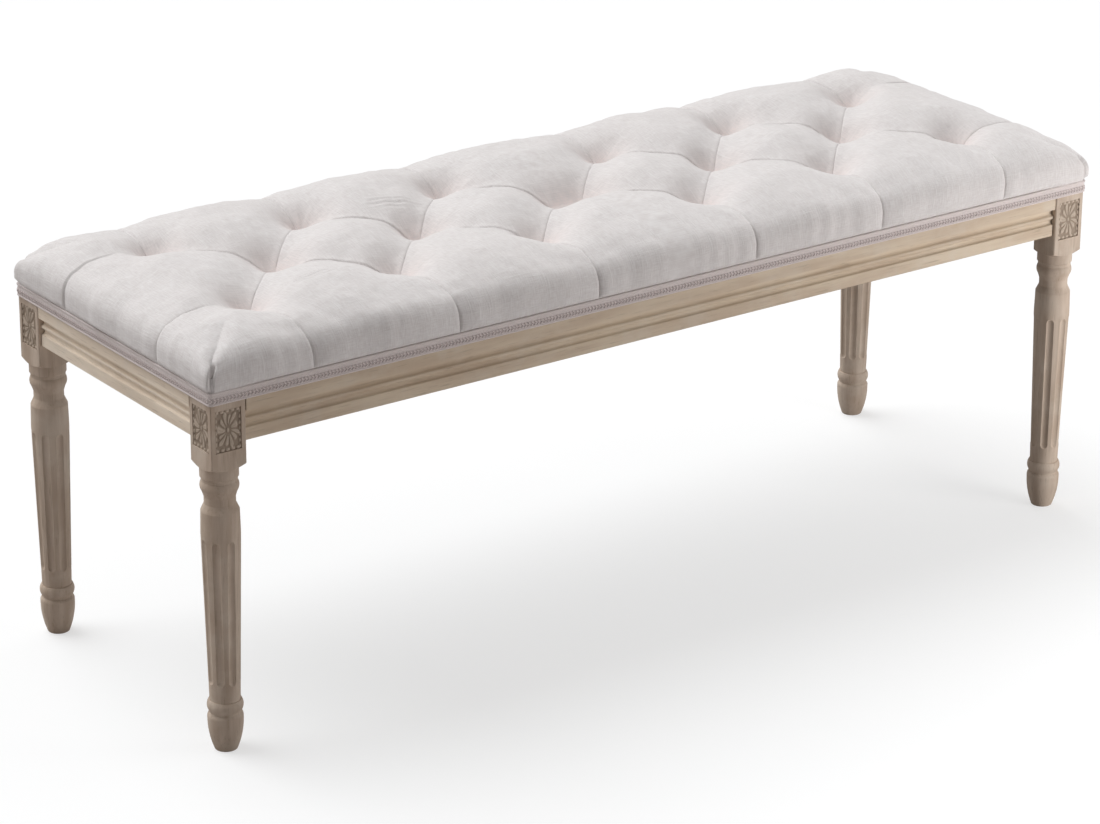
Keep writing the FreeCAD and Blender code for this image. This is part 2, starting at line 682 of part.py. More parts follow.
def corner_frame(side_x, side_y, turns):
    """The placement that carries the front left corner's own coordinates to another corner."""
    return FreeCAD.Placement(
        FreeCAD.Vector(side_x * float(leg_x), side_y * float(leg_y), 0),
        FreeCAD.Rotation(FreeCAD.Vector(0, 0, 1), turns * QUARTER_TURN))


def rail_screw_places():
    places = []
    for _, side_x, side_y, turns in CORNERS:
        frame = corner_frame(side_x, side_y, turns)
        for height in screw_rows:
            reach = float(dim.rail_screw_reach)
            seat = float(screw_seat)
            at_front = frame.multVec(FreeCAD.Vector(reach, seat, float(height)))
            at_side = frame.multVec(FreeCAD.Vector(seat, reach, float(height)))
            places.append((at_front, frame.Rotation.multVec(FreeCAD.Vector(0, 1, 0))))
            places.append((at_side, frame.Rotation.multVec(FreeCAD.Vector(1, 0, 0))))
    return places


def seat_screw_points():
    """Plan positions of the screws that come up through the braces into the seat board."""
    points = []
    for _, side_x, side_y, _ in CORNERS:
        for sideways in (dim.seat_screw_offset, -dim.seat_screw_offset):
            x, y = diagonal(sideways)
            points.append((side_x * (leg_x - x), side_y * (leg_y - y)))
    return points


# Seat board and tufting

def tuft_points():
    """Plan positions of the tufts: two outer rows, and a middle row between their columns."""
    columns = int(float(dim.tuft_columns))
    points = []
    for row, count in ((-1, columns), (0, columns - 1), (1, columns)):
        for column in range(count):
            x = dim.tuft_pitch * (column - (count - 1) / 2)
            points.append((x, dim.tuft_row_offset * row if row else 0))
    return points


def build_board():
    body = new_body("seat_board")
    half_x = dim.frame_length / 2
    half_y = dim.frame_width / 2
    plan = new_sketch(body, "board_plan", "XY_Plane", lift=dim.frame_top)
    draw_outline(plan, rounded_rectangle(half_x, half_y, dim.board_corner))
    feature(body, "Pad", "board_sheet", plan, Length=dim.board_thickness)
    holes = new_sketch(body, "twine_holes", "XY_Plane", lift=board_top)
    recesses = new_sketch(body, "anchor_recesses", "XY_Plane", lift=dim.frame_top)
    for x, y in tuft_points():
        draw_circle(holes, x, y, dim.twine_hole_radius)
        draw_circle(recesses, x, y, dim.anchor_recess_radius)
    feature(body, "Pocket", "board_twine_holes", holes, Length=dim.board_thickness)
    feature(body, "Pocket", "board_recesses", recesses, Length=dim.anchor_recess_depth, Reversed=True)
    pilots = new_sketch(body, "seat_screw_pilots", "XY_Plane", lift=dim.frame_top)
    for x, y in seat_screw_points():
        draw_circle(pilots, x, y, dim.screw_radius + dim.thread_clearance)
    feature(body, "Pocket", "board_pilots", pilots, Length=dim.seat_screw_bite, Reversed=True)
    return body


def build_tufting():
    """The washers in the board's recesses, and the knotted twines that hold the tufts down."""
    up = FreeCAD.Vector(0, 0, 1)
    washer_low = float(dim.frame_top + dim.anchor_recess_depth - dim.anchor_thickness)
    twine_top = float(pit_bottom - dim.cover_thickness)
    places = [(FreeCAD.Vector(float(x), float(y), 0), up) for x, y in tuft_points()]
    at = FreeCAD.Vector(0, 0, washer_low)
    bore = float(dim.twine_radius + dim.thread_clearance)
    washer = Part.makeCylinder(float(dim.anchor_radius), float(dim.anchor_thickness), at)
    washer = washer.cut(Part.makeCylinder(bore, float(dim.anchor_thickness), at))
    twine = Part.makeCylinder(float(dim.twine_radius), twine_top - washer_low, at)
    knot_at = at - up * float(dim.knot_height)
    knot = Part.makeCylinder(float(dim.knot_radius), float(dim.knot_height), knot_at)
    group_of("tuft_washers", washer, places)
    group_of("tuft_twines", twine.fuse(knot), places)


# Soft layers

def section_outline(half_width, base, inset):
    """Section of the cushion at a depth under its surface. The border slopes down from the level
    top in one long curve, then the edge rounds over into the straight side."""
    edge = dim.cushion_edge - inset
    fall = dim.cushion_top - dim.cushion_edge - dim.cushion_side_top
    run = dim.cushion_roll - dim.cushion_edge
    long_radius = (run * run + fall * fall) / (2 * fall)
    border = long_radius + dim.cushion_edge - inset
    level = half_width - dim.cushion_roll
    side = half_width - inset
    top = dim.cushion_top - inset
    share = edge / long_radius
    join_x = half_width - dim.cushion_edge + run * share
    join_y = dim.cushion_side_top + (long_radius - fall) * share
    return [
        (side, base), (side, dim.cushion_side_top, edge), (join_x, join_y, border), (level, top),
        (-level, top, border), (-join_x, join_y, edge), (-side, dim.cushion_side_top), (-side, base),
    ]


def extrusion(name, outline, turn, direction, length):
    """A sketch in a plane turned away from XY, stretched both ways along its normal."""
    sketch = doc.addObject("Sketcher::SketchObject", f"{name}_sketch")
    sketch.Placement = FreeCAD.Placement(FreeCAD.Vector(), turn)
    draw_outline(sketch, outline)
    solid = doc.addObject("Part::Extrusion", name)
    solid.Base = sketch
    solid.DirMode = "Custom"
    solid.Dir = direction
    solid.Solid = True
    solid.Symmetric = True
    bind(solid, "LengthFwd", length)
    return solid


def cushion_form(name, base, inset):
    """The cushion's plain body at a depth under its surface, as three sections in common."""
    half_x = dim.frame_length / 2 + dim.cushion_overhang
    half_y = dim.frame_width / 2 + dim.cushion_overhang
    lying = FreeCAD.Rotation(FreeCAD.Vector(1, 0, 0), QUARTER_TURN)
    end_on = FreeCAD.Rotation(FreeCAD.Vector(0, 0, 1), QUARTER_TURN).multiply(lying)
    flat = FreeCAD.Rotation()
    along = extrusion(f"{name}_long", section_outline(half_x, base, inset), lying,
                      FreeCAD.Vector(0, 1, 0), half_y * OVERSIZE)
    across = extrusion(f"{name}_short", section_outline(half_y, base, inset), end_on,
                       FreeCAD.Vector(1, 0, 0), half_x * OVERSIZE)
    plan = extrusion(
        f"{name}_plan",
        rounded_rectangle(half_x - inset, half_y - inset, dim.cushion_corner - inset),
        flat, FreeCAD.Vector(0, 0, 1), dim.cushion_top * OVERSIZE)
    common = doc.addObject("Part::MultiCommon", f"{name}_common")
    common.Shapes = [along, across, plan]
    return common


def pit_shapes(name, inset, through):
    """Cutters for the tufts: each narrows in one round sweep from its lip to its bottom, and
    where it goes through, it runs on down as a round hole."""
    lip = float(dim.pit_depth - inset)
    radius = float(dim.pit_radius + inset)
    reach = float(dim.pit_radius + dim.pit_depth)
    low = float(pit_bottom + dim.lip_rise)
    high = float(dim.cushion_top + dim.pit_depth)
    top = float(dim.cushion_top + dim.lip_rise - inset)
    floor = float(through) if through is not None else float(pit_bottom - inset)
    corner = FreeCAD.Vector(reach, 0, low)
    middle = corner + FreeCAD.Vector(-lip / ROOT_TWO, 0, lip / ROOT_TWO)
    points = [
        FreeCAD.Vector(0, 0, floor), FreeCAD.Vector(radius, 0, floor), FreeCAD.Vector(radius, 0, low),
        FreeCAD.Vector(reach, 0, top), FreeCAD.Vector(reach, 0, high), FreeCAD.Vector(0, 0, high)]
    sides = []
    for index, start in enumerate(points):
        end = points[(index + 1) % len(points)]
        sweep = Part.Arc(start, middle, end) if index == 2 else Part.LineSegment(start, end)
        sides.append(sweep.toShape())
    face = Part.Face(Part.Wire(sides))
    pit = face.revolve(FreeCAD.Vector(), FreeCAD.Vector(0, 0, 1), FULL_TURN)
    up = FreeCAD.Vector(0, 0, 1)
    places = [(FreeCAD.Vector(float(x), float(y), 0), up) for x, y in tuft_points()]
    return group_of(name, pit, places)


def boolean(kind, name, base, tool):
    made = doc.addObject(f"Part::{kind}", name)
    made.Label = name
    made.Base = base
    made.Tool = tool
    return made


def frame_block(name, low, high, outset, corner):
    """An upright block over the frame's plan, grown by outset on every side."""
    half_x = dim.frame_length / 2 + outset
    half_y = dim.frame_width / 2 + outset
    sketch = doc.addObject("Sketcher::SketchObject", f"{name}_sketch")
    draw_outline(sketch, rounded_rectangle(half_x, half_y, corner))
    sketch.Placement = FreeCAD.Placement(FreeCAD.Vector(0, 0, float(low)), FreeCAD.Rotation())
    bind(sketch, ".Placement.Base.z", low)
    solid = doc.addObject("Part::Extrusion", name)
    solid.Base = sketch
    solid.DirMode = "Custom"
    solid.Dir = FreeCAD.Vector(0, 0, 1)
    solid.Solid = True
    bind(solid, "LengthFwd", high - low)
    return solid


def build_soft_layers():
    thin = dim.cover_thickness
    gap = dim.layer_clearance
    skirt_bottom = cushion_base - dim.skirt_drop
    block_corner = dim.block_edge

    # Cover: a thin skin over the cushion that turns in under its edge and runs down the frame
    outer = boolean("Cut", "cover_outside", cushion_form("cover_outer", cushion_base, 0),
                    pit_shapes("cover_pits", 0, None))
    skirt = frame_block("cover_skirt", skirt_bottom, cushion_base + thin, thin, block_corner + thin)
    blank = boolean("Fuse", "cover_blank", outer, skirt)
    inner = boolean("Cut", "cover_inside", cushion_form("cover_inner", cushion_base + thin, thin),
                    pit_shapes("cover_inner_pits", thin, None))
    hollow = boolean("Cut", "cover_hollow", blank, inner)
    frame_room = frame_block("cover_frame_room", skirt_bottom - CUT_PAST, board_top, 0, block_corner)
    boolean("Cut", "seat_cover", hollow, frame_room)

    # Wadding: wraps the foam and the edge of the board
    wadding_out = thin + gap
    wadding_in = foam_inset - gap
    wadding_base = cushion_base + wadding_out
    outside = boolean("Cut", "wadding_outside", cushion_form("wadding_outer", wadding_base, wadding_out),
                      pit_shapes("wadding_pits", wadding_out, wadding_base))
    inside = boolean("Cut", "wadding_inside", cushion_form("wadding_inner", wadding_base, wadding_in),
                     pit_shapes("wadding_inner_pits", wadding_in, board_top + gap))
    boolean("Cut", "wadding", outside, inside)

    # Foam: lies on the board, with a hole for each tuft
    boolean("Cut", "foam_pad", cushion_form("foam_block", board_top, foam_inset),
            pit_shapes("foam_pits", foam_inset, board_top - CUT_PAST))


def build_trim():
    """The woven tape round the frame's upper edge, over the lower edge of the cover."""
    low = cushion_base - dim.trim_width
    inner = dim.cover_thickness
    outer = inner + dim.trim_thickness
    tape = frame_block("trim_outside", low, cushion_base, outer, dim.block_edge + outer)
    room = frame_block("trim_inside", low - CUT_PAST, cushion_base + CUT_PAST, inner,
                       dim.block_edge + inner)
    boolean("Cut", "gimp_trim", tape, room)


def build_dust_cover():
    """Thin cloth on the board's underside, inside the rails, with its corners cut at the braces."""
    body = new_body("dust_cover")
    half_x = dim.frame_length / 2 - dim.rail_thickness - dim.dust_cover_margin
    half_y = dim.frame_width / 2 - dim.rail_thickness - dim.dust_cover_margin
    cut = brace_far - 2 * rail_inner
    plan = new_sketch(body, "dust_cover_plan", "XY_Plane", lift=dim.frame_top - dim.dust_cover_thickness)
    draw_outline(plan, [
        (-half_x + cut, -half_y), (half_x - cut, -half_y), (half_x, -half_y + cut),
        (half_x, half_y - cut), (half_x - cut, half_y), (-half_x + cut, half_y),
        (-half_x, half_y - cut), (-half_x, -half_y + cut)])
    feature(body, "Pad", "dust_cover_sheet", plan, Length=dim.dust_cover_thickness)
    return body


# Assembly

for corner_name, *corner in CORNERS:
    build_leg(f"leg_{corner_name}", *corner)
    build_brace(f"corner_brace_{corner_name}", *corner)
    build_bolt(f"hanger_bolt_{corner_name}", corner)
    build_washer(f"bolt_washer_{corner_name}", corner)
    build_nut(f"bolt_nut_{corner_name}", corner)

long_rail = dim.frame_length - 2 * (dim.block_side + dim.rail_gap)
short_rail = dim.frame_width - 2 * (dim.block_side + dim.rail_gap)
build_rail("rail_left", short_rail, -dim.frame_length / 2, 0, 0)
build_rail("rail_front", long_rail, 0, -dim.frame_width / 2, 1)
build_rail("rail_right", short_rail, dim.frame_length / 2, 0, 2)
build_rail("rail_back", long_rail, 0, dim.frame_width / 2, 3)

build_board()
build_tufting()
group_of("brace_screws", screw_shape(dim.rail_screw_grip + dim.rail_screw_bite), rail_screw_places())
seat_screw_height = float(dim.frame_top - dim.seat_screw_grip)
downwards = FreeCAD.Vector(0, 0, -1)
group_of(
    "seat_screws", screw_shape(dim.seat_screw_grip + dim.seat_screw_bite),
    [(FreeCAD.Vector(float(x), float(y), seat_screw_height), downwards)
     for x, y in seat_screw_points()])
build_soft_layers()
build_trim()
build_dust_cover()
doc.recompute()

NODES = [f"{piece}_{corner[0]}" for corner in CORNERS
         for piece in ("leg", "corner_brace", "hanger_bolt", "bolt_washer", "bolt_nut")]
NODES += ["rail_front", "rail_back", "rail_left", "rail_right", "brace_screws", "seat_screws"]
NODES += ["seat_board", "tuft_washers", "tuft_twines", "foam_pad", "wadding", "seat_cover"]
NODES += ["gimp_trim", "dust_cover"]

for thing in doc.Objects:
    if {"Invalid", "Error"} & set(thing.State):
        raise RuntimeError(f"{thing.Label} failed: {thing.State}")
os.makedirs("parts", exist_ok=True)
solids = {}
for node in NODES:
    shape = doc.getObjectsByLabel(node)[0].Shape
    if shape.isNull() or not shape.isValid() or not shape.Solids:
        raise RuntimeError(f"{node} has no valid shape")
    solids[node] = shape
for node, shape in solids.items():
    shape.exportStep(f"parts/{node}.step")
    box = shape.BoundBox
    print(f"{node}: {len(shape.Solids)} solid(s), {shape.Volume / 1000:.1f} cm3, "
          f"x {box.XMin:.1f}..{box.XMax:.1f}, y {box.YMin:.1f}..{box.YMax:.1f}, "
          f"z {box.ZMin:.1f}..{box.ZMax:.1f}")
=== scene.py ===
"""Looks for the upholstered bench: tufted linen seat, woven trim, limed and carved wood.

Metres, +Z up, X along the bench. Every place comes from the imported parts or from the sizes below.
"""
import math

import bpy
import numpy as np
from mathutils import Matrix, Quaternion, Vector


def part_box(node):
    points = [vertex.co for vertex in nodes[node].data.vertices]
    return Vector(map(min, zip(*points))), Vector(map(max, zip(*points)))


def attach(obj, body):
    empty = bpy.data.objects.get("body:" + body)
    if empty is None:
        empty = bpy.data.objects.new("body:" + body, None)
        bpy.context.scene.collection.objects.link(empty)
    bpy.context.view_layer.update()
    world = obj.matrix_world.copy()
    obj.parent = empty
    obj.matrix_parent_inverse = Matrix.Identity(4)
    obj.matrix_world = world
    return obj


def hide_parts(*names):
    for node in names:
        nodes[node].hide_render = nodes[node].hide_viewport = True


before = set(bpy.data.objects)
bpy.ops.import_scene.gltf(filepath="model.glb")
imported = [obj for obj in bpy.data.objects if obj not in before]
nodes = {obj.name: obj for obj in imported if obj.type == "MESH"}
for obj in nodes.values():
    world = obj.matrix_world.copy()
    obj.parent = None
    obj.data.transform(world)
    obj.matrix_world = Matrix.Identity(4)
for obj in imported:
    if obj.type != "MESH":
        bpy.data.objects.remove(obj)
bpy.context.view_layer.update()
CORNERS = ("front_left", "front_right", "back_right", "back_left")

# Camera, at the photograph's viewing angle
CAMERA_PLACE = (-2.566469, -3.531479, 1.939823)
CAMERA_AZIMUTH = -35.717
CAMERA_ELEVATION = 21.841
CAMERA_ROLL = 0.340
CAMERA_LENS = 134.31
SENSOR_WIDTH = 36

# Light: the sky is bright all round, apart from the side the camera looks from
SKY_LEVEL = 0.66
DARK_LEVEL = 0.08
DARK_SIDE = (-0.20, -0.98, 0.0)
DARK_STARTS = -0.2
DARK_FULL = 0.9
SKY_TINT = (1, 0.99, 0.985, 1)
KEY_FROM = (-0.21, 0.45, 0.85)
KEY_SPREAD = 48
KEY_STRENGTH = 2.06
KEY_TINT = (0.975, 1.0, 1.015)
FILL_PLACE = (1.05, -1.15, 0.28)
FILL_TARGET = (0.62, -0.2, 0.25)
FILL_SIZE = 0.6
FILL_WATTS = 9.5
FLOOR_SIZE = 60
FLOOR_SEEN = (0.97, 0.97, 0.97, 1.0)
FLOOR_BOUNCE = (0.45, 0.425, 0.415, 1.0)
FLOOR_GLOW = 0.6

# Cushion, as it would be without its tufts
HALF_LENGTH = 0.6
HALF_WIDTH = 0.2055
BORDER_WIDTH = 0.110
SIDE_TOP = 0.430
ROLL_RADIUS = 0.028
CORNER_RADIUS = 0.011
CORNER_POWER = 2.0
ROUNDING_FADE = 0.05
SIDE_EASE = 0.06
SIDE_FALL = 0.05
TOP_TO_SIDE = 0.03
HEM_HEIGHT = 0.005
HEM_TUCK = 0.0036
CLEARANCE = 0.0003

# Tufts: their places, with whole steps of the mesh between them, and the funnel, pinch and lip
TUFT_PITCH = 0.194
TUFT_ROW = 0.097
TUFT_COLUMNS = 6
GRID_STEP = TUFT_ROW / 44
TUFT_DEPTH = 0.0175
TUFT_SPREAD = 0.026
TUFT_REACH = 0.038
PINCH_DEPTH = 0.004
PINCH_RADIUS = 0.006
LIP_RISE = 0.0022
LIP_START = 0.002
LIP_RUN = 0.012
LIP_WIDTH = 0.014
# Reach of the painted shade in the tufts' hollows
TUFT_SHADE_RADIUS = 0.024

# Pleats: a wide valley, a narrow crease with shoulders, and a step where the cloth laps
PLEAT_LEVEL = 0.4610
LEAST_VALLEY = 0.0032
PLEAT_REACH = 0.075
PLEAT_BLEND = 3.0
PLEAT_DRAW = 0.006
DRAW_POWER = 0.7
DRAW_FADE = 0.012
SHARP_BOTTOM = 0.004
SOFT_BOTTOM = 0.016
CREASE_DEPTH = 0.0024
CREASE_LOSS = 0.0004
CREASE_WIDTH = 0.0014
CREASE_POWER = 1.4
SHOULDER_DEPTH = 0.0008
SHOULDER_WIDTH = 0.005
SIDE_GROOVE = 0.0024
SIDE_GROOVE_WIDTH = 0.009
STEP_WIDTH = 0.0012
INNER_STEP = (0.0011, 0.010)
OUTER_STEP = (0.0007, 0.006)
FOLD_START = 0.004
FOLD_FADE = 0.012
END_SHARE = 0.6
LATE_START = 0.045
LATE_FADE = 0.035
LINE_END = 0.001
STRAIGHT_WEIGHT = 1.4
SOFT_WEIGHT = 0.4
END_WEIGHT = 0.7
FIRM_END_WEIGHT = 1.2
ARC_WEIGHTS = {-1: (0, 1.0, 0.6, 1.0, 0.4, 0.5), 1: (0.6, 1.0, 0.7, 0.9, 0.6, 0)}

# Lean of the straight pleats on their way down
SIDE_LEAN = 0.037
SIDE_SHIFT = 0.0015
BACK_LEAN = 0.6
END_LEAN = 0.004
LEAN_RUN = 0.17

# Swell of the border between its pleats
BORDER_SWELL = 0.0028
SWELL_START = 0.12
SWELL_MARGIN = 0.03
SWELL_FADE = 0.05

# Folded corners
MITRE_TOP = 0.006
SLIT_DEPTH = 0.0108
SLIT_PLACE = 0.0045
SLIT_WIDTH = 0.0022
TUCK_DEPTH = 0.0046
TUCK_WIDTH = 0.012
LAP_RISE = 0.0018
LONG_LAP_WIDTH = 0.002
END_LAP_WIDTH = 0.009

# Small creases round the tufts, and ripples as (middle, angle, length, width, pitch, rise)
PUCKER_COUNT = 7
PUCKER_REACH = (0.026, 0.055)
PUCKER_RISE = (0.0002, 0.0006)
PUCKER_BEND = 6
PUCKER_WIDTH = 0.0018
PUCKER_WIDENING = 0.05
STRONG_PUCKERS = (1, 7, 8, 13)
STRONGER = 1.5
RIPPLES = (
    ((-0.418, -0.100), 0.10, 0.045, 0.012, 0.0075, 0.0011),
    ((-0.185, 0.060), -0.25, 0.030, 0.012, 0.0080, 0.0011),
)
RIPPLE_BEND = 2.0
# Unevenness of the whole cloth, as (size, seed, rise)
UNEVENNESS = ((0.07, 3, 0.0007), (0.02, 4, 0.0002))

# Frame and trim
FRAME_HALF_LENGTH = 0.595
FRAME_HALF_WIDTH = 0.2005
LEG_X = 0.574
LEG_Y = 0.1795
TRIM_CORNER = 0.003
CORD_OUT = 0.0011
LOW_CORD_RADIUS = 0.0011
LOW_CORD_RISE = 0.0012
HIGH_CORD_RADIUS = 0.0014
HIGH_CORD_DROP = 0.0016
BAND_THICKNESS = 0.0013
BAND_DOME = 0.0004
BAND_RISE = 0.0026
BAND_DROP = 0.0036
# Heights of the band of painted shade behind the stitches, and its soft edge
STITCH_SHADE_BAND = (0.4002, 0.4066)
STITCH_SHADE_FADE = 0.0006
STITCH_LIFT = 0.0018
STITCH_HEIGHT = 0.4034
STITCH_SIZES = {"Pitch": 0.0042, "Thread": 0.0008, "Reach": 0.0022, "Lean": 0.65}
STITCH_SPREAD = 0.62

# Carved flowers
PANEL_WIDTH = 0.0308
PANEL_HEIGHT = 0.0458
PANEL_MIDDLE = 0.3673
PANEL_DEPTH = 0.00217
CARVING_BASE = 0.0002
CARVING_RISE = 0.0017
CARVING_EDGE = 0.0006
CARVING_WEAR = 0.00006
PETALS = 12
FLOWER_POWER = 2.6
FLOWER_TWIST = 0.25
EYE_RADIUS = 0.12
EYE_HEIGHT = 0.6
LEAVES_START = 0.80
LEAVES_EDGE = 0.10
LEAVES_HEIGHT = 0.8
PLAIN_BELOW = 0.0003


def new_object(name, data):
    """Adds an object with this mesh, curve, lamp or camera to the scene."""
    made = bpy.data.objects.new(name, data)
    bpy.context.scene.collection.objects.link(made)
    return made


# Shader maths

class Field:
    """A socket's value in a material, for use in Python expressions."""

    def __init__(self, finish, socket):
        self.finish = finish
        self.socket = socket

    def __add__(self, other):
        return self.finish.maths("ADD", self, other)

    def __sub__(self, other):
        return self.finish.maths("SUBTRACT", self, other)

    def __mul__(self, other):
        return self.finish.maths("MULTIPLY", self, other)

    def clamp(self):
        return self.finish.maths("ADD", self, 0, use_clamp=True)


class Finish:
    """A material under construction, whose nodes are given as Python expressions."""

    def __init__(self, name):
        self.material = bpy.data.materials.new(name)
        self.material.use_nodes = True
        self.tree = self.material.node_tree
        self.tree.nodes.clear()

    def node(self, kind, settings=None, output=0, **inputs):
        """Adds a node: its settings first, then its sockets by name or by number (i0, i1)."""
        made = self.tree.nodes.new(f"ShaderNode{kind}")
        for key, value in (settings or {}).items():
            setattr(made, key, value)
        for key, value in inputs.items():
            numbered = key[0] == "i" and key[1:].isdigit()
            socket = made.inputs[int(key[1:]) if numbered else key.replace("_", " ")]
            if isinstance(value, Field):
                self.tree.links.new(value.socket, socket)
            else:
                socket.default_value = value
        return Field(self, made.outputs[output]) if made.outputs else None

    def maths(self, operation, first, second, use_clamp=False):
        settings = {"operation": operation, "use_clamp": use_clamp}
        return self.node("Math", settings, i0=first, i1=second)

    def place(self, stretch=(1, 1, 1)):
        """Object coordinates, stretched."""
        at = self.node("TexCoord", output="Object")
        return self.node("Mapping", Vector=at, Scale=stretch)

    def sheet(self, stretch=(1, 1, 1)):
        """Coordinates along the cloth, in metres, from the piece's own UV map."""
        at = self.node("UVMap", {"uv_map": "cloth"})
        return self.node("Mapping", Vector=at, Scale=stretch)

    def noise(self, vector, scale, detail=2.0, roughness=0.5):
        return self.node("TexNoise", Vector=vector, Scale=scale, Detail=detail, Roughness=roughness)

    def axis(self, vector, letter):
        return self.node("SeparateXYZ", output=letter, Vector=vector)

    def band(self, value, low, high, to_low=0.0, to_high=1.0):
        """Smooth change from to_low to to_high as the value goes from low to high."""
        return self.node(
            "MapRange", {"interpolation_type": "SMOOTHSTEP"}, Value=value, i1=low, i2=high,
            i3=to_low, i4=to_high)

    def blend(self, factor, first, second):
        """Mixes two colours."""
        made = self.tree.nodes.new("ShaderNodeMix")
        made.data_type = "RGBA"
        sockets = [s for s in made.inputs if s.enabled]
        for socket, value in zip(sockets, (factor, first, second)):
            if isinstance(value, Field):
                self.tree.links.new(value.socket, socket)
            else:
                socket.default_value = value
        return Field(self, next(s for s in made.outputs if s.enabled))

    def bump(self, height, distance, strength):
        return self.node("Bump", Height=height, Distance=distance, Strength=strength)

    def finish(self, **sockets):
        """Closes the material with one Principled shader and returns it."""
        shader = self.node("BsdfPrincipled", **sockets)
        self.node("OutputMaterial", Surface=shader)
        return self.material


def colour(red, green, blue):
    """A colour given as it shows on screen, from 0 to 255, as linear light."""
    shown = [channel / 255 for channel in (red, green, blue)]
    return (*[((c + 0.055) / 1.055) ** 2.4 if c > 0.04045 else c / 12.92 for c in shown], 1.0)


# Materials

def linen():
    """Slubby plain weave: fine threads both ways, thicker slubs, a soft change of tone, and painted
    shade, warm and darker, in the tufts.
    """
    cloth = Finish("linen")
    warp = cloth.noise(cloth.sheet((1, 0.09, 1)), 900, 3, 0.6)
    weft = cloth.noise(cloth.sheet((0.09, 1, 1)), 900, 3, 0.6)
    slub = cloth.band(cloth.noise(cloth.sheet((1, 0.05, 1)), 420, 2), 0.56, 0.74)
    slub_across = cloth.band(cloth.noise(cloth.sheet((0.05, 1, 1)), 420, 2), 0.58, 0.74)
    tone = cloth.noise(cloth.place(), 9, 3)
    thread = warp * 0.55 + weft * 0.45
    shade = cloth.band(thread, 0.32, 0.68)
    painted_tuft_shade = cloth.node("Attribute", {"attribute_name": "painted_tuft_shade"}, output="Fac")
    base = cloth.blend(tone, colour(226, 221, 219), colour(231, 228, 227))
    # Painted shade: the cloth turns warmer and darker towards the tufts' hollows
    tuft_shaded = cloth.blend(painted_tuft_shade * 0.65, base, colour(228, 203, 196))
    dark = cloth.blend(shade, colour(211, 204, 202), tuft_shaded)
    lit = cloth.blend((slub * 0.3 + slub_across * 0.2).clamp(), dark, colour(239, 236, 234))
    height = thread + slub * 0.5 + slub_across * 0.4
    return cloth.finish(
        Base_Color=lit, Roughness=0.92, Sheen_Weight=0.25, Sheen_Roughness=0.45,
        Normal=cloth.bump(height, 0.0006, 0.5))


def limed_wood(name, along, tone, pale):
    """Limed and weathered wood with its grain along X, Y or Z."""
    wood = Finish(name)
    fine = tuple(0.05 if axis == along else 1 for axis in "XYZ")
    broad = tuple(0.12 if axis == along else 1 for axis in "XYZ")
    grain = wood.noise(wood.place(fine), 620, 4, 0.62)
    figure = wood.noise(wood.place(broad), 60, 3, 0.55)
    wear = wood.noise(wood.place(), 26, 4, 0.6)
    pore = wood.band(grain, 0.55, 0.72)
    body = wood.blend(wood.band(figure, 0.35, 0.65), tone, pale)
    grained = wood.blend(pore * 0.35, body, colour(122, 106, 88))
    limed = wood.blend(wood.band(wear, 0.45, 0.7) * 0.3, grained, colour(214, 204, 190))
    return wood.finish(
        Base_Color=limed, Roughness=wood.band(grain, 0.3, 0.7, 0.62, 0.78),
        Normal=wood.bump(grain * -1.0, 0.0003, 0.5))


def trim_cloth():
    """Woven tape: fine threads, the cords' twist, and painted shade on the band behind the
    stitches, which shows between them.
    """
    tape = Finish("trim_cloth")
    fine = tape.noise(tape.place(), 1500, 3, 0.6)
    twist = tape.node("TexWave", {"wave_type": "BANDS", "bands_direction": "DIAGONAL"},
                      Vector=tape.sheet(), Scale=320, Distortion=0.6, Detail=1)
    shade = tape.blend(fine, colour(212, 200, 197), colour(238, 228, 225))
    edge = tape.blend(twist * 0.3, shade, colour(190, 176, 174))
    height = tape.axis(tape.place(), "Z")
    # Painted shade: the band behind the raised stitches is darker
    low, high = STITCH_SHADE_BAND
    row = tape.band(height, low, low + STITCH_SHADE_FADE)
    row = row - tape.band(height, high - STITCH_SHADE_FADE, high)
    lit = tape.blend(row * 0.35, edge, colour(160, 147, 145))
    return tape.finish(
        Base_Color=lit, Roughness=0.9, Sheen_Weight=0.2, Sheen_Roughness=0.5,
        Normal=tape.bump(fine * 0.6 + twist, 0.0003, 0.7))


def carved_wood():
    """The legs' wood, with painted shade in the carving's hollows and a painted highlight on its
    tops, broken by wear.
    """
    wood = Finish("carved_wood")
    raised = wood.node("Attribute", {"attribute_name": "raised"}, output="Fac")
    wear = wood.noise(wood.place(), 400, 3, 0.6)
    # Painted shade and highlight: darker where the carving is low, paler where it is high
    top = wood.band(raised + wear * 0.3, 0.35, 1.0)
    shade = wood.blend(top, colour(150, 133, 116), colour(191, 174, 157))
    return wood.finish(Base_Color=shade, Roughness=0.7, Normal=wood.bump(wear, 0.0002, 0.4))


def plain(name, tint, rough, metal=0.0, speck=300):
    """A simple finish with a little unevenness."""
    made = Finish(name)
    uneven = made.noise(made.place(), speck, 3)
    darker = tuple(channel * 0.8 for channel in tint[:3]) + (1.0,)
    return made.finish(
        Base_Color=made.blend(uneven, darker, tint), Roughness=rough, Metallic=metal,
        Normal=made.bump(uneven, 0.0002, 0.3))


# Cushion

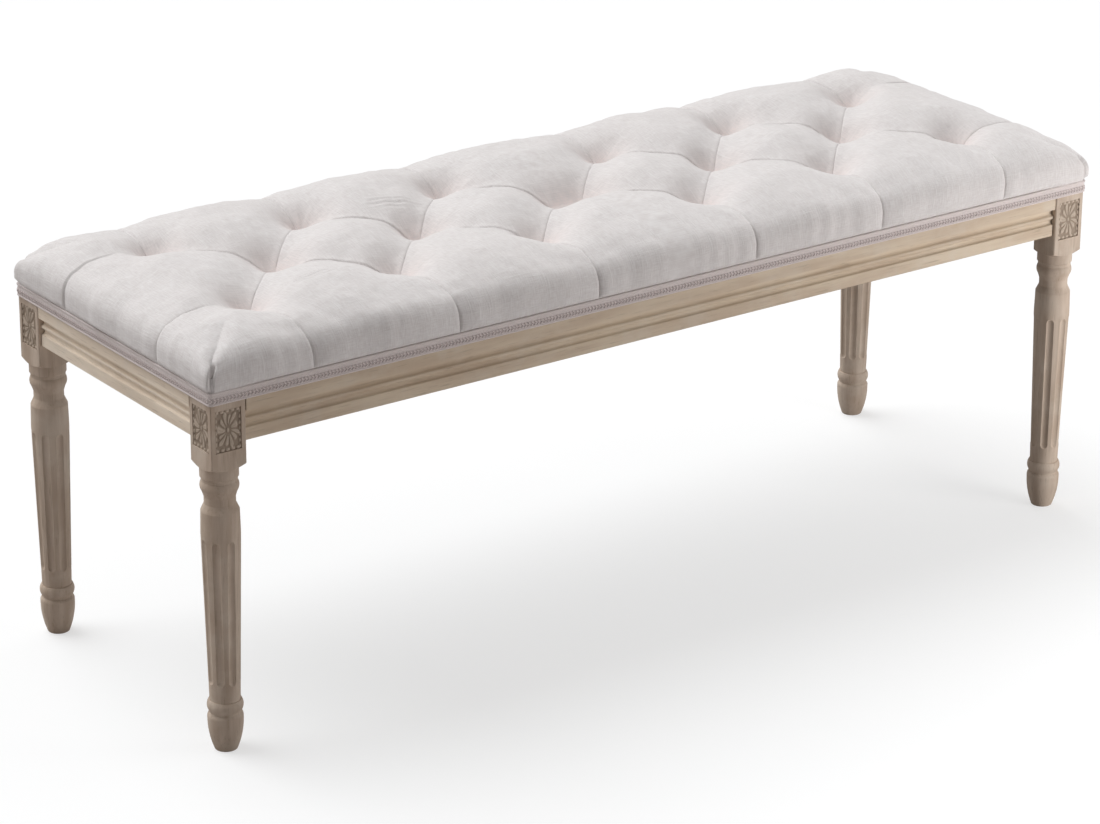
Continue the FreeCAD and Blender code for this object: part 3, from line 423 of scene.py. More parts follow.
class Profile:
    """The cushion's edge in section, by distance along the cloth from the level middle outwards."""

    def __init__(self, crown, hem):
        fall = crown - ROLL_RADIUS - SIDE_TOP
        run = BORDER_WIDTH - ROLL_RADIUS
        long_radius = (run * run + fall * fall) / (2 * fall)
        border_radius = long_radius + ROLL_RADIUS
        slope = math.asin(run / long_radius)
        turn = math.pi / 2 - slope
        steps = np.linspace(0, slope, 60)
        roll = np.linspace(slope, math.pi / 2, 60)[1:]
        inset = np.concatenate([
            BORDER_WIDTH - border_radius * np.sin(steps),
            ROLL_RADIUS - ROLL_RADIUS * np.sin(roll), [0.0]])
        height = np.concatenate([
            crown - border_radius + border_radius * np.cos(steps),
            SIDE_TOP + ROLL_RADIUS * np.cos(roll), [hem]])
        self.inset = inset
        self.height = height
        self.length = np.concatenate([[0], np.cumsum(np.hypot(np.diff(inset), np.diff(height)))])
        self.edge = border_radius * slope + ROLL_RADIUS * (turn - math.pi / 4)
        self.total = self.length[-1]

    def inset_at(self, length):
        return np.interp(length, self.length, self.inset) + np.maximum(-length, 0)

    def drop_at(self, length, crown):
        return crown - np.interp(np.maximum(length, 0), self.length, self.height)


def smooth_step(value):
    """Rises smoothly from 0 to 1 as the value does."""
    value = np.clip(value, 0, 1)
    return value * value * (3 - 2 * value)


def tuft_points():
    """Plan positions of the tufts: six in front, five in the middle and six at the back."""
    points = []
    for row, count in ((-1, TUFT_COLUMNS), (0, TUFT_COLUMNS - 1), (1, TUFT_COLUMNS)):
        for column in range(count):
            points.append((TUFT_PITCH * (column - (count - 1) / 2), TUFT_ROW * row))
    return np.array(points)


def ripples(x, y, size, seed, waves=14):
    """A smooth random field of about unit height, with waves of about this size."""
    random = np.random.default_rng(seed)
    total = np.zeros_like(x)
    for _ in range(waves):
        angle = random.uniform(0, 2 * math.pi)
        pitch = size * random.uniform(0.7, 1.5)
        phase = random.uniform(0, 2 * math.pi)
        total += np.sin(2 * math.pi * (x * math.cos(angle) + y * math.sin(angle)) / pitch + phase)
    return total / math.sqrt(waves / 2)


def pleats():
    """Each pleat as (start, end, lip, weight) in cloth coordinates. The lip says which side lies
    higher, and the weight how sharp the fold is."""
    lines = []
    off_x, off_y = HALF_LENGTH + SIDE_FALL, HALF_WIDTH + SIDE_FALL
    last = TUFT_PITCH * (TUFT_COLUMNS - 1) / 2
    for column in range(TUFT_COLUMNS):
        x = TUFT_PITCH * column - last
        for side in (-1, 1):
            tuft = (x, side * TUFT_ROW)
            lines.append((tuft, (x, side * off_y), -1, STRAIGHT_WEIGHT))
            for step in (-0.5, 0.5):
                middle = x + step * TUFT_PITCH
                if abs(middle) < last:
                    sharp = step * side > 0
                    weight = ARC_WEIGHTS[side][column] if sharp else SOFT_WEIGHT
                    lines.append((tuft, (middle, 0.0), side * weight * sharp, weight))
    for end in (-1, 1):
        for side in (-1, 1):
            weight = FIRM_END_WEIGHT if end > 0 > side else END_WEIGHT
            row = side * TUFT_ROW
            lines.append(((end * last, row), (end * off_x, row), side * end, weight))
    return lines


def beside(x, y, start, end):
    """Distances from a line: along it, past either end and to its left; its normal and length."""
    length = math.dist(start, end)
    run_x, run_y = (end[0] - start[0]) / length, (end[1] - start[1]) / length
    along = (x - start[0]) * run_x + (y - start[1]) * run_y
    left = (y - start[1]) * run_x - (x - start[0]) * run_y
    past = np.maximum(along - length, 0) + np.maximum(-along, 0)
    return np.clip(along, 0, length), past, left, (-run_y, run_x), length


def tuft_distance(x, y):
    """Distance to the nearest tuft."""
    return np.min([np.hypot(x - a, y - b) for a, b in tuft_points()], axis=0)


def drawn_to_pleats(x, y):
    """Moves the grid's lines towards the pleats, so that a fold gets more of them."""
    away = smooth_step((tuft_distance(x, y) - PINCH_RADIUS) / DRAW_FADE)
    shift_x, shift_y = np.zeros_like(x), np.zeros_like(y)
    for start, end, *_ in pleats():
        _, past, left, normal, _ = beside(x, y, start, end)
        near = np.abs(left) / PLEAT_DRAW
        inside = (near < 1) & (past < LINE_END)
        pull = np.where(inside, left * (np.maximum(near, 1e-9) ** DRAW_POWER - 1), 0) * away
        shift_x += pull * normal[0]
        shift_y += pull * normal[1]
    return x + shift_x, y + shift_y


def hem_drift(x, y, past_x, past_y):
    """How far the straight pleats lean on their way down to the hem, fading near the corners."""
    last_tuft = TUFT_PITCH * (TUFT_COLUMNS - 1) / 2
    outwards = smooth_step((np.abs(y) + past_y - TUFT_ROW) / LEAN_RUN)
    lean = outwards * (1 - smooth_step((np.abs(x) - 0.50) / 0.09))
    lean_x = (-SIDE_LEAN * x - SIDE_SHIFT) * lean * np.where(y < 0, 1, BACK_LEAN)
    outwards = smooth_step((np.abs(x) + past_x - last_tuft) / LEAN_RUN)
    lean = outwards * (1 - smooth_step((np.abs(y) - 0.11) / 0.08))
    return lean_x, -END_LEAN * lean * (x < 0)


def puckers(x, y):
    """Short ridges that run out from the tufts, and soft ripples in two places."""
    height = np.zeros_like(x)
    for index, (tuft_x, tuft_y) in enumerate(tuft_points()):
        random = np.random.default_rng(index + 20)
        radius = np.hypot(x - tuft_x, y - tuft_y)
        angle = np.arctan2(y - tuft_y, x - tuft_x)
        strong = STRONGER if index in STRONG_PUCKERS else 1.0
        for _ in range(PUCKER_COUNT):
            way = random.uniform(-math.pi, math.pi)
            reach = random.uniform(*PUCKER_REACH)
            rise = random.uniform(*PUCKER_RISE) * strong
            bend = random.uniform(-PUCKER_BEND, PUCKER_BEND) * (radius - 0.02)
            off = radius * np.sin(angle - way + bend * 0.5)
            ahead = np.cos(angle - way) > 0
            window = smooth_step((radius - 0.008) / 0.010) * smooth_step((reach - radius) / 0.020)
            ridge = np.exp(-(off / (PUCKER_WIDTH + PUCKER_WIDENING * radius)) ** 2)
            height += ahead * rise * window * ridge
    for middle, angle, length, width, pitch, rise in RIPPLES:
        along = (x - middle[0]) * math.cos(angle) + (y - middle[1]) * math.sin(angle)
        across = (y - middle[1]) * math.cos(angle) - (x - middle[0]) * math.sin(angle)
        across = across + RIPPLE_BEND * along ** 2
        packet = np.exp(-(along / length) ** 2 - (across / width) ** 2)
        height += rise * np.cos(2 * math.pi * across / pitch) * packet
    return height


def pleat_depth(x, y, down, deep):
    """How far the pleats pull the cloth in, down being 0 on the top and 1 on the sides, and deep
    how far a valley may go."""
    valley = np.zeros_like(x)
    fold = np.zeros_like(x)
    for start, end, lip, weight in pleats():
        along, beyond, left, _, length = beside(x, y, start, end)
        distance = np.hypot(left, beyond)
        inner = abs(end[0]) <= HALF_LENGTH and abs(end[1]) <= HALF_WIDTH
        to_end = abs(end[0]) > HALF_LENGTH
        ends = smooth_step((along - FOLD_START) / FOLD_FADE)
        if inner:
            ends = ends * smooth_step((length - along - FOLD_START) / FOLD_FADE)
        if to_end and weight == END_WEIGHT:
            ends = smooth_step((along - LATE_START) / LATE_FADE)
        soft = SHARP_BOTTOM if lip else SOFT_BOTTOM
        rounded = np.hypot(distance, soft) - soft
        share = END_SHARE if to_end else 1.0
        wide = deep * share * np.clip(1 - rounded / PLEAT_REACH, 0, 1) ** 2
        narrow = SIDE_GROOVE * np.exp(-distance / SIDE_GROOVE_WIDTH)
        valley += (wide * (1 - down) + narrow * down) ** PLEAT_BLEND
        sharpness = np.exp(-(distance / CREASE_WIDTH) ** CREASE_POWER)
        crease = (CREASE_DEPTH - CREASE_LOSS * down) * weight * sharpness
        shoulder = SHOULDER_DEPTH * weight * np.exp(-distance / SHOULDER_WIDTH)
        rise, run = INNER_STEP if inner else OUTER_STEP
        step = lip * np.sign(left) * rise * np.exp(-distance / run)
        step = step * np.minimum(distance / STEP_WIDTH, 1)
        fold = np.maximum(fold, (crease + shoulder) * ends) - step * ends * (beyond < LINE_END)
    return valley ** (1 / PLEAT_BLEND) + fold


def tuft_depth(x, y):
    """How far the tufts pull the cloth in: a long funnel, a pinch, and a lip on its near side."""
    depth = np.zeros_like(x)
    for tuft_x, tuft_y in tuft_points():
        radius = np.hypot(x - tuft_x, y - tuft_y)
        sideways = (x - tuft_x - (y - tuft_y)) / math.sqrt(2)
        towards = -(x - tuft_x + (y - tuft_y)) / math.sqrt(2)
        funnel = np.exp(-(sideways / TUFT_SPREAD) ** 2 - (towards / TUFT_REACH) ** 2)
        depth += TUFT_DEPTH * funnel
        depth += PINCH_DEPTH * np.exp(-(radius / PINCH_RADIUS) ** 1.5)
        lip = smooth_step(towards / LIP_START) * np.exp(-np.maximum(towards, 0) / LIP_RUN)
        depth -= LIP_RISE * lip * np.exp(-(sideways / LIP_WIDTH) ** 4)
    return depth


def cushion_depth(x, y, past, level):
    """How far the cloth is pulled in at cloth coordinates, past being the way down the side and
    level the height of the unpulled cloth there."""
    down = smooth_step(past / TOP_TO_SIDE)
    deep = np.hypot(np.maximum(level - PLEAT_LEVEL, 0.0), LEAST_VALLEY)
    beat = np.abs(np.sin(math.pi * (x / TUFT_PITCH)))
    border = smooth_step((np.abs(y) - SWELL_START) / SWELL_FADE)
    border = border * smooth_step((HALF_LENGTH - SWELL_MARGIN - np.abs(x)) / SWELL_FADE)
    swell = BORDER_SWELL * (1 - beat ** 1.5) * border * (1 - down)
    on_top = past <= 0
    return pleat_depth(x, y, down, deep) - swell + tuft_depth(x, y) - puckers(x, y) * on_top


def corner_fold(x, y, past_x, past_y):
    """The mitre at each corner: the end's cloth laps over the long side's, with a slit between."""
    past = np.maximum(past_x, past_y)
    to_corner = np.hypot(HALF_LENGTH - np.abs(x), HALF_WIDTH - np.abs(y))
    long_side = past_y > 0
    slit = np.where(long_side, np.exp(-((to_corner - SLIT_PLACE) / SLIT_WIDTH) ** 2), 0)
    tuck = np.where(long_side, np.exp(-to_corner / TUCK_WIDTH), 0)
    lap = np.where(long_side, np.exp(-to_corner / LONG_LAP_WIDTH),
                   np.exp(-(to_corner / END_LAP_WIDTH) ** 2))
    return smooth_step(past / MITRE_TOP) * (SLIT_DEPTH * slit + TUCK_DEPTH * tuck - LAP_RISE * lap)


def cushion_mesh(name, step):
    """The cushion as one closed mesh: the top, four sides, a tucked hem and a flat underside."""
    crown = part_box("seat_cover")[1].z
    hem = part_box("gimp_trim")[1].z + CLEARANCE
    profile = Profile(crown, hem)
    scale = profile.edge / BORDER_WIDTH
    edge_inset = float(profile.inset_at(profile.edge))

    def lines(half):
        """Grid lines at whole steps from the middle, with one on each edge."""
        count = int((half - step * 0.6) / step)
        return np.concatenate([[-half], np.arange(-count, count + 1) * step, [half]])

    def reach(value, half):
        """Distance along the profile for a cloth coordinate."""
        return (np.abs(value) - (half - BORDER_WIDTH)) * scale

    def shape(x, y, past_x, past_y):
        """Where the cloth lies at cloth coordinates, past the top's rim by past_x or past_y."""
        lean_x, lean_y = hem_drift(x, y, past_x, past_y)
        drawn_x, drawn_y = drawn_to_pleats(x, y)
        drawn_x = np.where(np.abs(x) < HALF_LENGTH - 1e-6, drawn_x + lean_x, x)
        drawn_y = np.where(np.abs(y) < HALF_WIDTH - 1e-6, drawn_y + lean_y, y)
        reach_x = reach(drawn_x, HALF_LENGTH) + past_x
        reach_y = reach(drawn_y, HALF_WIDTH) + past_y
        inset_x, inset_y = profile.inset_at(reach_x), profile.inset_at(reach_y)
        drop_x, drop_y = profile.drop_at(reach_x, crown), profile.drop_at(reach_y, crown)
        z = crown - (drop_x ** CORNER_POWER + drop_y ** CORNER_POWER) ** (1 / CORNER_POWER)
        near = 1 - smooth_step((inset_x - edge_inset) / SIDE_EASE)
        inset_x = np.where(past_y > 0, inset_x - (edge_inset - inset_y) * near, inset_x)
        near = 1 - smooth_step((inset_y - edge_inset) / SIDE_EASE)
        inset_y = np.where(past_x > 0, inset_y - (edge_inset - inset_x) * near, inset_y)
        nearest, gap = np.minimum(inset_x, inset_y), np.abs(inset_x - inset_y)
        corner = CORNER_RADIUS + 0.5 * ROLL_RADIUS * smooth_step(nearest / ROLL_RADIUS)
        share = 1 - smooth_step((nearest - ROLL_RADIUS) / ROUNDING_FADE)
        towards_mitre = 1 - np.minimum(gap / corner, 1)
        turn = towards_mitre + (math.pi / 4 - 1) * towards_mitre ** 2
        side_inset = nearest + share * corner * (1 - np.cos(turn))
        far_inset = nearest + gap + share * (corner * (1 - np.sin(turn)) - gap)
        x_first = inset_x <= inset_y
        rounded = gap < corner
        round_x = np.where(rounded, np.where(x_first, side_inset, far_inset), inset_x)
        round_y = np.where(rounded, np.where(x_first, far_inset, side_inset), inset_y)
        return np.stack([
            np.sign(drawn_x) * (HALF_LENGTH - round_x),
            np.sign(drawn_y) * (HALF_WIDTH - round_y), z], -1)

    patches = []
    start = 0

    def patch(x, y, past_x, past_y, outwards):
        """Adds a grid in triangles, whose diagonals follow the diamonds between the tufts."""
        nonlocal start
        index = np.arange(x.size).reshape(x.shape) + start
        start += x.size
        a, b, c, d = index[:-1, :-1], index[1:, :-1], index[1:, 1:], index[:-1, 1:]
        squares = [np.floor(value[:-1, :-1] / TUFT_ROW + 1e-6) for value in (x, y)]
        even = (squares[0] + squares[1]) % 2 == 0
        first = np.stack([a, b, np.where(even, c, d)], -1)
        second = np.stack([np.where(even, a, b), c, d], -1)
        triangles = np.concatenate([first.reshape(-1, 3), second.reshape(-1, 3)])
        flat = [value.ravel() for value in (x, y, past_x, past_y)]
        patches.append((shape(*flat), flat, triangles if outwards else triangles[:, ::-1]))

    xs, ys = lines(HALF_LENGTH), lines(HALF_WIDTH)
    rows = int(round((profile.total - profile.edge) / step))
    down = np.linspace(0, profile.total - profile.edge, rows + 1)
    x, y = np.meshgrid(xs, ys, indexing="ij")
    patch(x, y, x * 0, y * 0, True)
    for side in (-1, 1):
        x, past = np.meshgrid(xs, down, indexing="ij")
        patch(x, x * 0 + side * HALF_WIDTH, x * 0, past, side > 0)
        y, past = np.meshgrid(ys, down, indexing="ij")
        patch(y * 0 + side * HALF_LENGTH, y, past, y * 0, side < 0)

    place = np.concatenate([p[0] for p in patches])
    x, y, past_x, past_y = (np.concatenate([p[1][i] for p in patches]) for i in range(4))
    faces = np.concatenate([p[2] for p in patches])
    sheet = np.stack([x + np.sign(x) * past_x, y + np.sign(y) * past_y], -1)[faces]
    _, first, back = np.unique(np.round(place, 6), axis=0, return_index=True, return_inverse=True)
    faces = back.ravel()[faces]
    a, b, c = faces.T
    keep = (a != b) & (b != c) & (a != c)
    faces, sheet = faces[keep], sheet[keep]
    place, x, y, past_x, past_y = (value[first] for value in (place, x, y, past_x, past_y))
    normals = np.zeros_like(place)
    origin = place[faces[:, 0]]
    face_normals = np.cross(place[faces[:, 1]] - origin, place[faces[:, 2]] - origin)
    for i in range(3):
        np.add.at(normals, faces[:, i], face_normals)
    normals /= np.linalg.norm(normals, axis=1, keepdims=True)
    past = np.maximum(past_x, past_y)
    depth = cushion_depth(x + np.sign(x) * past_x, y + np.sign(y) * past_y, past, place[:, 2])
    depth += corner_fold(x, y, past_x, past_y)
    for size, seed, rise in UNEVENNESS:
        depth += ripples(x, y, size, seed) * rise
    above_hem = smooth_step((place[:, 2] - hem) / HEM_HEIGHT)
    depth = depth * above_hem + (1 - above_hem) * HEM_TUCK
    moved = place - normals * depth[:, None]

    edges = np.concatenate([faces[:, [0, 1]], faces[:, [1, 2]], faces[:, [2, 0]]])
    key = np.sort(edges, 1)
    _, where, count = np.unique(key, axis=0, return_index=True, return_counts=True)
    rim = edges[where[count == 1]]
    ring = np.unique(rim)
    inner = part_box("seat_board")[1] + Vector((CLEARANCE, CLEARANCE, CLEARANCE))
    tucked = moved[ring].copy()
    tucked[:, 0] = np.clip(tucked[:, 0], -inner.x, inner.x)
    tucked[:, 1] = np.clip(tucked[:, 1], -inner.y, inner.y)
    raised = tucked.copy()
    raised[:, 2] = inner.z
    total = len(moved)
    order = np.full(total, -1)
    order[ring] = np.arange(len(ring))
    size = len(ring)
    a, b = rim[:, 0], rim[:, 1]
    low_a, low_b = total + order[a], total + order[b]
    top_a, top_b = low_a + size, low_b + size
    centre = np.full(len(a), total + 2 * size)
    skirt = np.concatenate([
        np.stack([b, a, low_a], -1), np.stack([b, low_a, low_b], -1),
        np.stack([low_b, low_a, top_a], -1), np.stack([low_b, top_a, top_b], -1),
        np.stack([top_b, top_a, centre], -1)])
    points = np.concatenate([moved, tucked, raised, [[0.0, 0.0, inner.z]]])
    uv = np.concatenate([sheet, np.zeros((len(skirt), 3, 2))])
    faces = np.concatenate([faces, skirt])
    mesh = bpy.data.meshes.new(name)
    mesh.from_pydata(points.tolist(), [], faces.tolist())
    layer = mesh.uv_layers.new(name="cloth")
    layer.data.foreach_set("uv", uv.reshape(-1, 2).astype(np.float32).ravel())
    # Painted shade at each tuft, strongest in its hollow and only on the top, for the linen's
    # colour
    painted_tuft_shade = np.zeros(len(points), dtype=np.float32)
    painted_tuft_shade[:total] = np.exp(-(tuft_distance(x, y) / TUFT_SHADE_RADIUS) ** 1.5) * (past == 0)
    mesh.attributes.new("painted_tuft_shade", "FLOAT", "POINT").data.foreach_set("value", painted_tuft_shade)
    mesh.shade_smooth()
    return mesh


# Woven trim

def sweep_round(name, section, step=0.02):
    """Sweeps a closed section of (out, height) points round the frame, with UVs along the tape."""
    corners = []
    for turn, (sign_x, sign_y) in enumerate(((1, 1), (-1, 1), (-1, -1), (1, -1))):
        for part in np.linspace(0, 1, 9):
            corners.append((turn + part, sign_x, sign_y))
    stations = []
    for index, (turn, sign_x, sign_y) in enumerate(corners):
        way = (math.cos(math.pi / 2 * turn), math.sin(math.pi / 2 * turn))
        centre = (sign_x * (FRAME_HALF_LENGTH - TRIM_CORNER),
                  sign_y * (FRAME_HALF_WIDTH - TRIM_CORNER))
        stations.append((*centre, *way))
        if index % 9 == 8:
            following = corners[(index + 1) % len(corners)]
            target = (following[1] * (FRAME_HALF_LENGTH - TRIM_CORNER),
                      following[2] * (FRAME_HALF_WIDTH - TRIM_CORNER))
            count = max(int(math.dist(centre, target) / step), 1)
            for part in np.arange(1, count) / count:
                stations.append((centre[0] + (target[0] - centre[0]) * part,
                                 centre[1] + (target[1] - centre[1]) * part, *way))
    rounds, size = len(stations), len(section)
    points = [(x + way_x * (TRIM_CORNER + out), y + way_y * (TRIM_CORNER + out), height)
              for x, y, way_x, way_y in stations for out, height in section]
    middle = [(x + way_x * TRIM_CORNER, y + way_y * TRIM_CORNER) for x, y, way_x, way_y in stations]
    along = np.cumsum([0] + [math.dist(middle[i], middle[(i + 1) % rounds]) for i in range(rounds)])
    across = np.cumsum([0] + [math.dist(section[i], section[(i + 1) % size]) for i in range(size)])
    faces, uv = [], []
    for i in range(rounds):
        for j in range(size):
            faces.append((i * size + j, ((i + 1) % rounds) * size + j,
                          ((i + 1) % rounds) * size + (j + 1) % size, i * size + (j + 1) % size))
            uv += [(along[i], across[j]), (along[i + 1], across[j]),
                   (along[i + 1], across[j + 1]), (along[i], across[j + 1])]
    mesh = bpy.data.meshes.new(name)
    mesh.from_pydata(points, [], faces)
    layer = mesh.uv_layers.new(name="cloth")
    layer.data.foreach_set("uv", np.array(uv, dtype=np.float32).ravel())
    mesh.shade_smooth()
    return mesh


def arc(centre, radius, start, stop, count):
    """Points on an arc, from one angle to another in degrees."""
    angles = np.radians(np.linspace(start, stop, count))
    return [(centre[0] + radius * math.cos(a), centre[1] + radius * math.sin(a)) for a in angles]


def trim_tape():
    """The tape's section: a cord along each edge and a slightly domed band between them."""
    low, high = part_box("gimp_trim")[0].z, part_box("gimp_trim")[1].z
    section = [(CLEARANCE, low + CLEARANCE)]
    section += arc((CORD_OUT, low + LOW_CORD_RISE), LOW_CORD_RADIUS, -80, 60, 7)
    bottom, top = low + BAND_RISE, high - BAND_DROP
    for part in np.linspace(0, 1, 9):
        out = BAND_THICKNESS + BAND_DOME * math.sin(math.pi * part)
        section.append((out, bottom + (top - bottom) * part))
    section += arc((CORD_OUT, high - HIGH_CORD_DROP), HIGH_CORD_RADIUS, -60, 90, 9)
    section += [(CLEARANCE, high - CLEARANCE)]
    return sweep_round("gimp_tape", section)


def nodes_tree(name, inputs):
    """A Geometry Nodes tree with these named inputs and a geometry output."""
    tree = bpy.data.node_groups.new(name, "GeometryNodeTree")
    tree.interface.new_socket("Geometry", in_out="INPUT", socket_type="NodeSocketGeometry")
    for key, (kind, value) in inputs.items():
        socket = tree.interface.new_socket(key, in_out="INPUT", socket_type=f"NodeSocket{kind}")
        if value is not None:
            socket.default_value = value
    tree.interface.new_socket("Geometry", in_out="OUTPUT", socket_type="NodeSocketGeometry")
    start = tree.nodes.new("NodeGroupInput")
    return tree, start


def geometry(tree, kind, settings=None, **inputs):
    """Adds a geometry node and returns its first output; inputs are values or other outputs."""
    made = tree.nodes.new(kind)
    for key, value in (settings or {}).items():
        setattr(made, key, value)
    for key, value in inputs.items():
        numbered = key[0] == "i" and key[1:].isdigit()
        socket = made.inputs[int(key[1:]) if numbered else key.replace("_", " ")]
        if isinstance(value, bpy.types.NodeSocket):
            tree.links.new(value, socket)
        else:
            socket.default_value = value
    return made.outputs[0]


def grow(name, source, tree, values):
    """Runs a Geometry Nodes tree on an object and returns the result as a plain mesh object."""
    carrier = new_object(f"{name}_path", source)
    modifier = carrier.modifiers.new(name, "NODES")
    modifier.node_group = tree
    for item in tree.interface.items_tree:
        if item.in_out == "INPUT" and item.name in values:
            modifier[item.identifier] = values[item.name]
    graph = bpy.context.evaluated_depsgraph_get()
    mesh = bpy.data.meshes.new_from_object(carrier.evaluated_get(graph), depsgraph=graph)
    carrier.modifiers.remove(modifier)
    bpy.data.objects.remove(carrier)
    mesh.name = name
    return new_object(name, mesh)


def path_curve(name, half_x, half_y, radius, height):
    """A closed path round the bench: straight sides joined by quarter circles."""
    curve = bpy.data.curves.new(name, "CURVE")
    curve.dimensions = "3D"
    spline = curve.splines.new("POLY")
    points = []
    for turn, (sign_x, sign_y) in enumerate(((1, 1), (-1, 1), (-1, -1), (1, -1))):
        for part in np.linspace(0, 1, 7):
            angle = math.pi / 2 * (turn + part)
            points.append((sign_x * (half_x - radius) + radius * math.cos(angle),
                           sign_y * (half_y - radius) + radius * math.sin(angle), height, 1.0))
    spline.points.add(len(points) - 1)
    spline.points.foreach_set("co", [value for point in points for value in point])
    spline.use_cyclic_u = True
    return curve


def stitch_tree():
    """Pairs of leaning threads along a path, which make the tape's herringbone."""
    tree, start = nodes_tree("herringbone", {
        **{key: ("Float", value) for key, value in STITCH_SIZES.items()},
        "Material": ("Material", None)})
    given = start.outputs
    spots = tree.nodes.new("GeometryNodeCurveToPoints")
    spots.mode = "LENGTH"
    tree.links.new(given["Geometry"], spots.inputs["Curve"])
    tree.links.new(given["Pitch"], spots.inputs["Length"])
    facing = geometry(tree, "FunctionNodeAlignRotationToVector", {"axis": "X", "pivot_axis": "Z"},
                      Vector=spots.outputs["Tangent"])
    ball = geometry(tree, "GeometryNodeMeshUVSphere", Segments=6, Rings=5, Radius=1.0)
    size = geometry(tree, "ShaderNodeCombineXYZ",
                    X=given["Reach"], Y=given["Thread"], Z=given["Thread"])
    rows = []
    for side in (-1, 1):
        tilt = geometry(tree, "ShaderNodeMath", {"operation": "MULTIPLY"},
                        i0=given["Lean"], i1=float(side))
        turn = geometry(tree, "ShaderNodeCombineXYZ", Y=tilt)
        rise = geometry(tree, "ShaderNodeMath", {"operation": "MULTIPLY"},
                        i0=given["Reach"], i1=STITCH_SPREAD * side)
        offset = geometry(tree, "ShaderNodeCombineXYZ", Z=rise)
        rows.append(geometry(tree, "GeometryNodeTransform", Geometry=ball, Translation=offset,
                             Rotation=turn, Scale=size))
    pair = tree.nodes.new("GeometryNodeJoinGeometry")
    for row in rows:
        tree.links.new(row, pair.inputs[0])
    placed = geometry(tree, "GeometryNodeInstanceOnPoints", Points=spots.outputs["Points"],
                      Instance=pair.outputs[0], Rotation=facing)
    real = geometry(tree, "GeometryNodeRealizeInstances", Geometry=placed)
    smooth = geometry(tree, "GeometryNodeSetShadeSmooth", Geometry=real)
    ended = geometry(tree, "GeometryNodeSetMaterial", Geometry=smooth, Material=given["Material"])
    end = tree.nodes.new("NodeGroupOutput")
    tree.links.new(ended, end.inputs[0])
    return tree


# Carved flowers

def carved_height(across, up):
    """Height of the carving over its panel: scooped petals round an eye, and leaves at the rim."""
    u, v = across / (PANEL_WIDTH / 2), up / (PANEL_HEIGHT / 2)
    radius = (np.abs(u) ** FLOWER_POWER + np.abs(v) ** FLOWER_POWER) ** (1 / FLOWER_POWER)
    angle = np.arctan2(v, u) + FLOWER_TWIST * radius
    bend = 0.06 * np.sin(3 * angle + 1) + 0.05 * np.sin(5 * angle)
    wave = 0.5 + 0.5 * np.cos(PETALS * (angle + bend))
    longer = 0.5 + 0.5 * np.cos(PETALS / 2 * (angle + bend))
    tip = 0.70 + 0.18 * longer + 0.10 * wave
    body = smooth_step((radius - EYE_RADIUS) / 0.20) * smooth_step((tip - radius) / 0.14)
    scoop = 1 - 0.45 * np.exp(-(1 - wave) / 0.10) * smooth_step((tip - radius) / 0.30)
    leaf = body * wave ** 0.6 * scoop * (0.6 + 0.4 * radius)
    leaves = 0.5 + 0.5 * np.cos(7 * math.pi * np.where(np.abs(u) > np.abs(v), v, 0.7 * u) + 0.6)
    side = np.maximum(np.abs(u), np.abs(v))
    rim = smooth_step((side - LEAVES_START) / LEAVES_EDGE) * leaves ** 0.5 * LEAVES_HEIGHT
    eye = np.sqrt(np.clip(1 - (radius / EYE_RADIUS) ** 2, 0, 1))
    height = np.maximum(np.maximum(leaf, rim), eye * EYE_HEIGHT)
    edge = np.minimum(PANEL_WIDTH / 2 - np.abs(across), PANEL_HEIGHT / 2 - np.abs(up))
    return (CARVING_BASE + CARVING_RISE * height) * smooth_step(edge / CARVING_EDGE)


def carved_flowers():
    """One carved flower in each of the eight sunk panels on the outer faces of the leg blocks."""
    count_u, count_v = 62, 90
    u = np.linspace(-PANEL_WIDTH / 2, PANEL_WIDTH / 2, count_u)
    v = np.linspace(-PANEL_HEIGHT / 2, PANEL_HEIGHT / 2, count_v)
    across, up = (value.ravel() for value in np.meshgrid(u, v, indexing="ij"))
    index = np.arange(count_u * count_v).reshape(count_u, count_v)
    quads = np.stack([index[:-1, :-1], index[1:, :-1], index[1:, 1:], index[:-1, 1:]], -1)
    quads = quads.reshape(-1, 4)
    rim = np.concatenate([index[:, 0], index[-1, 1:], index[-2::-1, -1], index[0, -2:0:-1]])
    points, faces, shown = [], [], []
    start = 0
    carving = carved_height(across, up)
    for corner_x in (-1, 1):
        for corner_y in (-1, 1):
            for long_side in (True, False):
                worn = ripples(across + corner_x, up + corner_y, 0.012, 7 + start) * CARVING_WEAR
                height = carving + np.where(carving > PLAIN_BELOW, worn, 0)
                if long_side:
                    x = corner_x * LEG_X - across * corner_y
                    y = corner_y * (FRAME_HALF_WIDTH - PANEL_DEPTH + height)
                else:
                    y = corner_y * LEG_Y + across * corner_x
                    x = corner_x * (FRAME_HALF_LENGTH - PANEL_DEPTH + height)
                points.append(np.stack([x, y, PANEL_MIDDLE + up], -1))
                faces += (quads + start).tolist()
                faces.append((rim[::-1] + start).tolist())
                shown.append(height / CARVING_RISE)
                start += across.size
    mesh = bpy.data.meshes.new("carved_flowers")
    mesh.from_pydata(np.concatenate(points).tolist(), [], faces)
    # Height of the carving, which the carved wood uses for its painted shade and highlight
    raised = mesh.attributes.new("raised", "FLOAT", "POINT")
    raised.data.foreach_set("value", np.concatenate(shown).astype(np.float32))
    mesh.shade_smooth()
    return mesh


# Stage

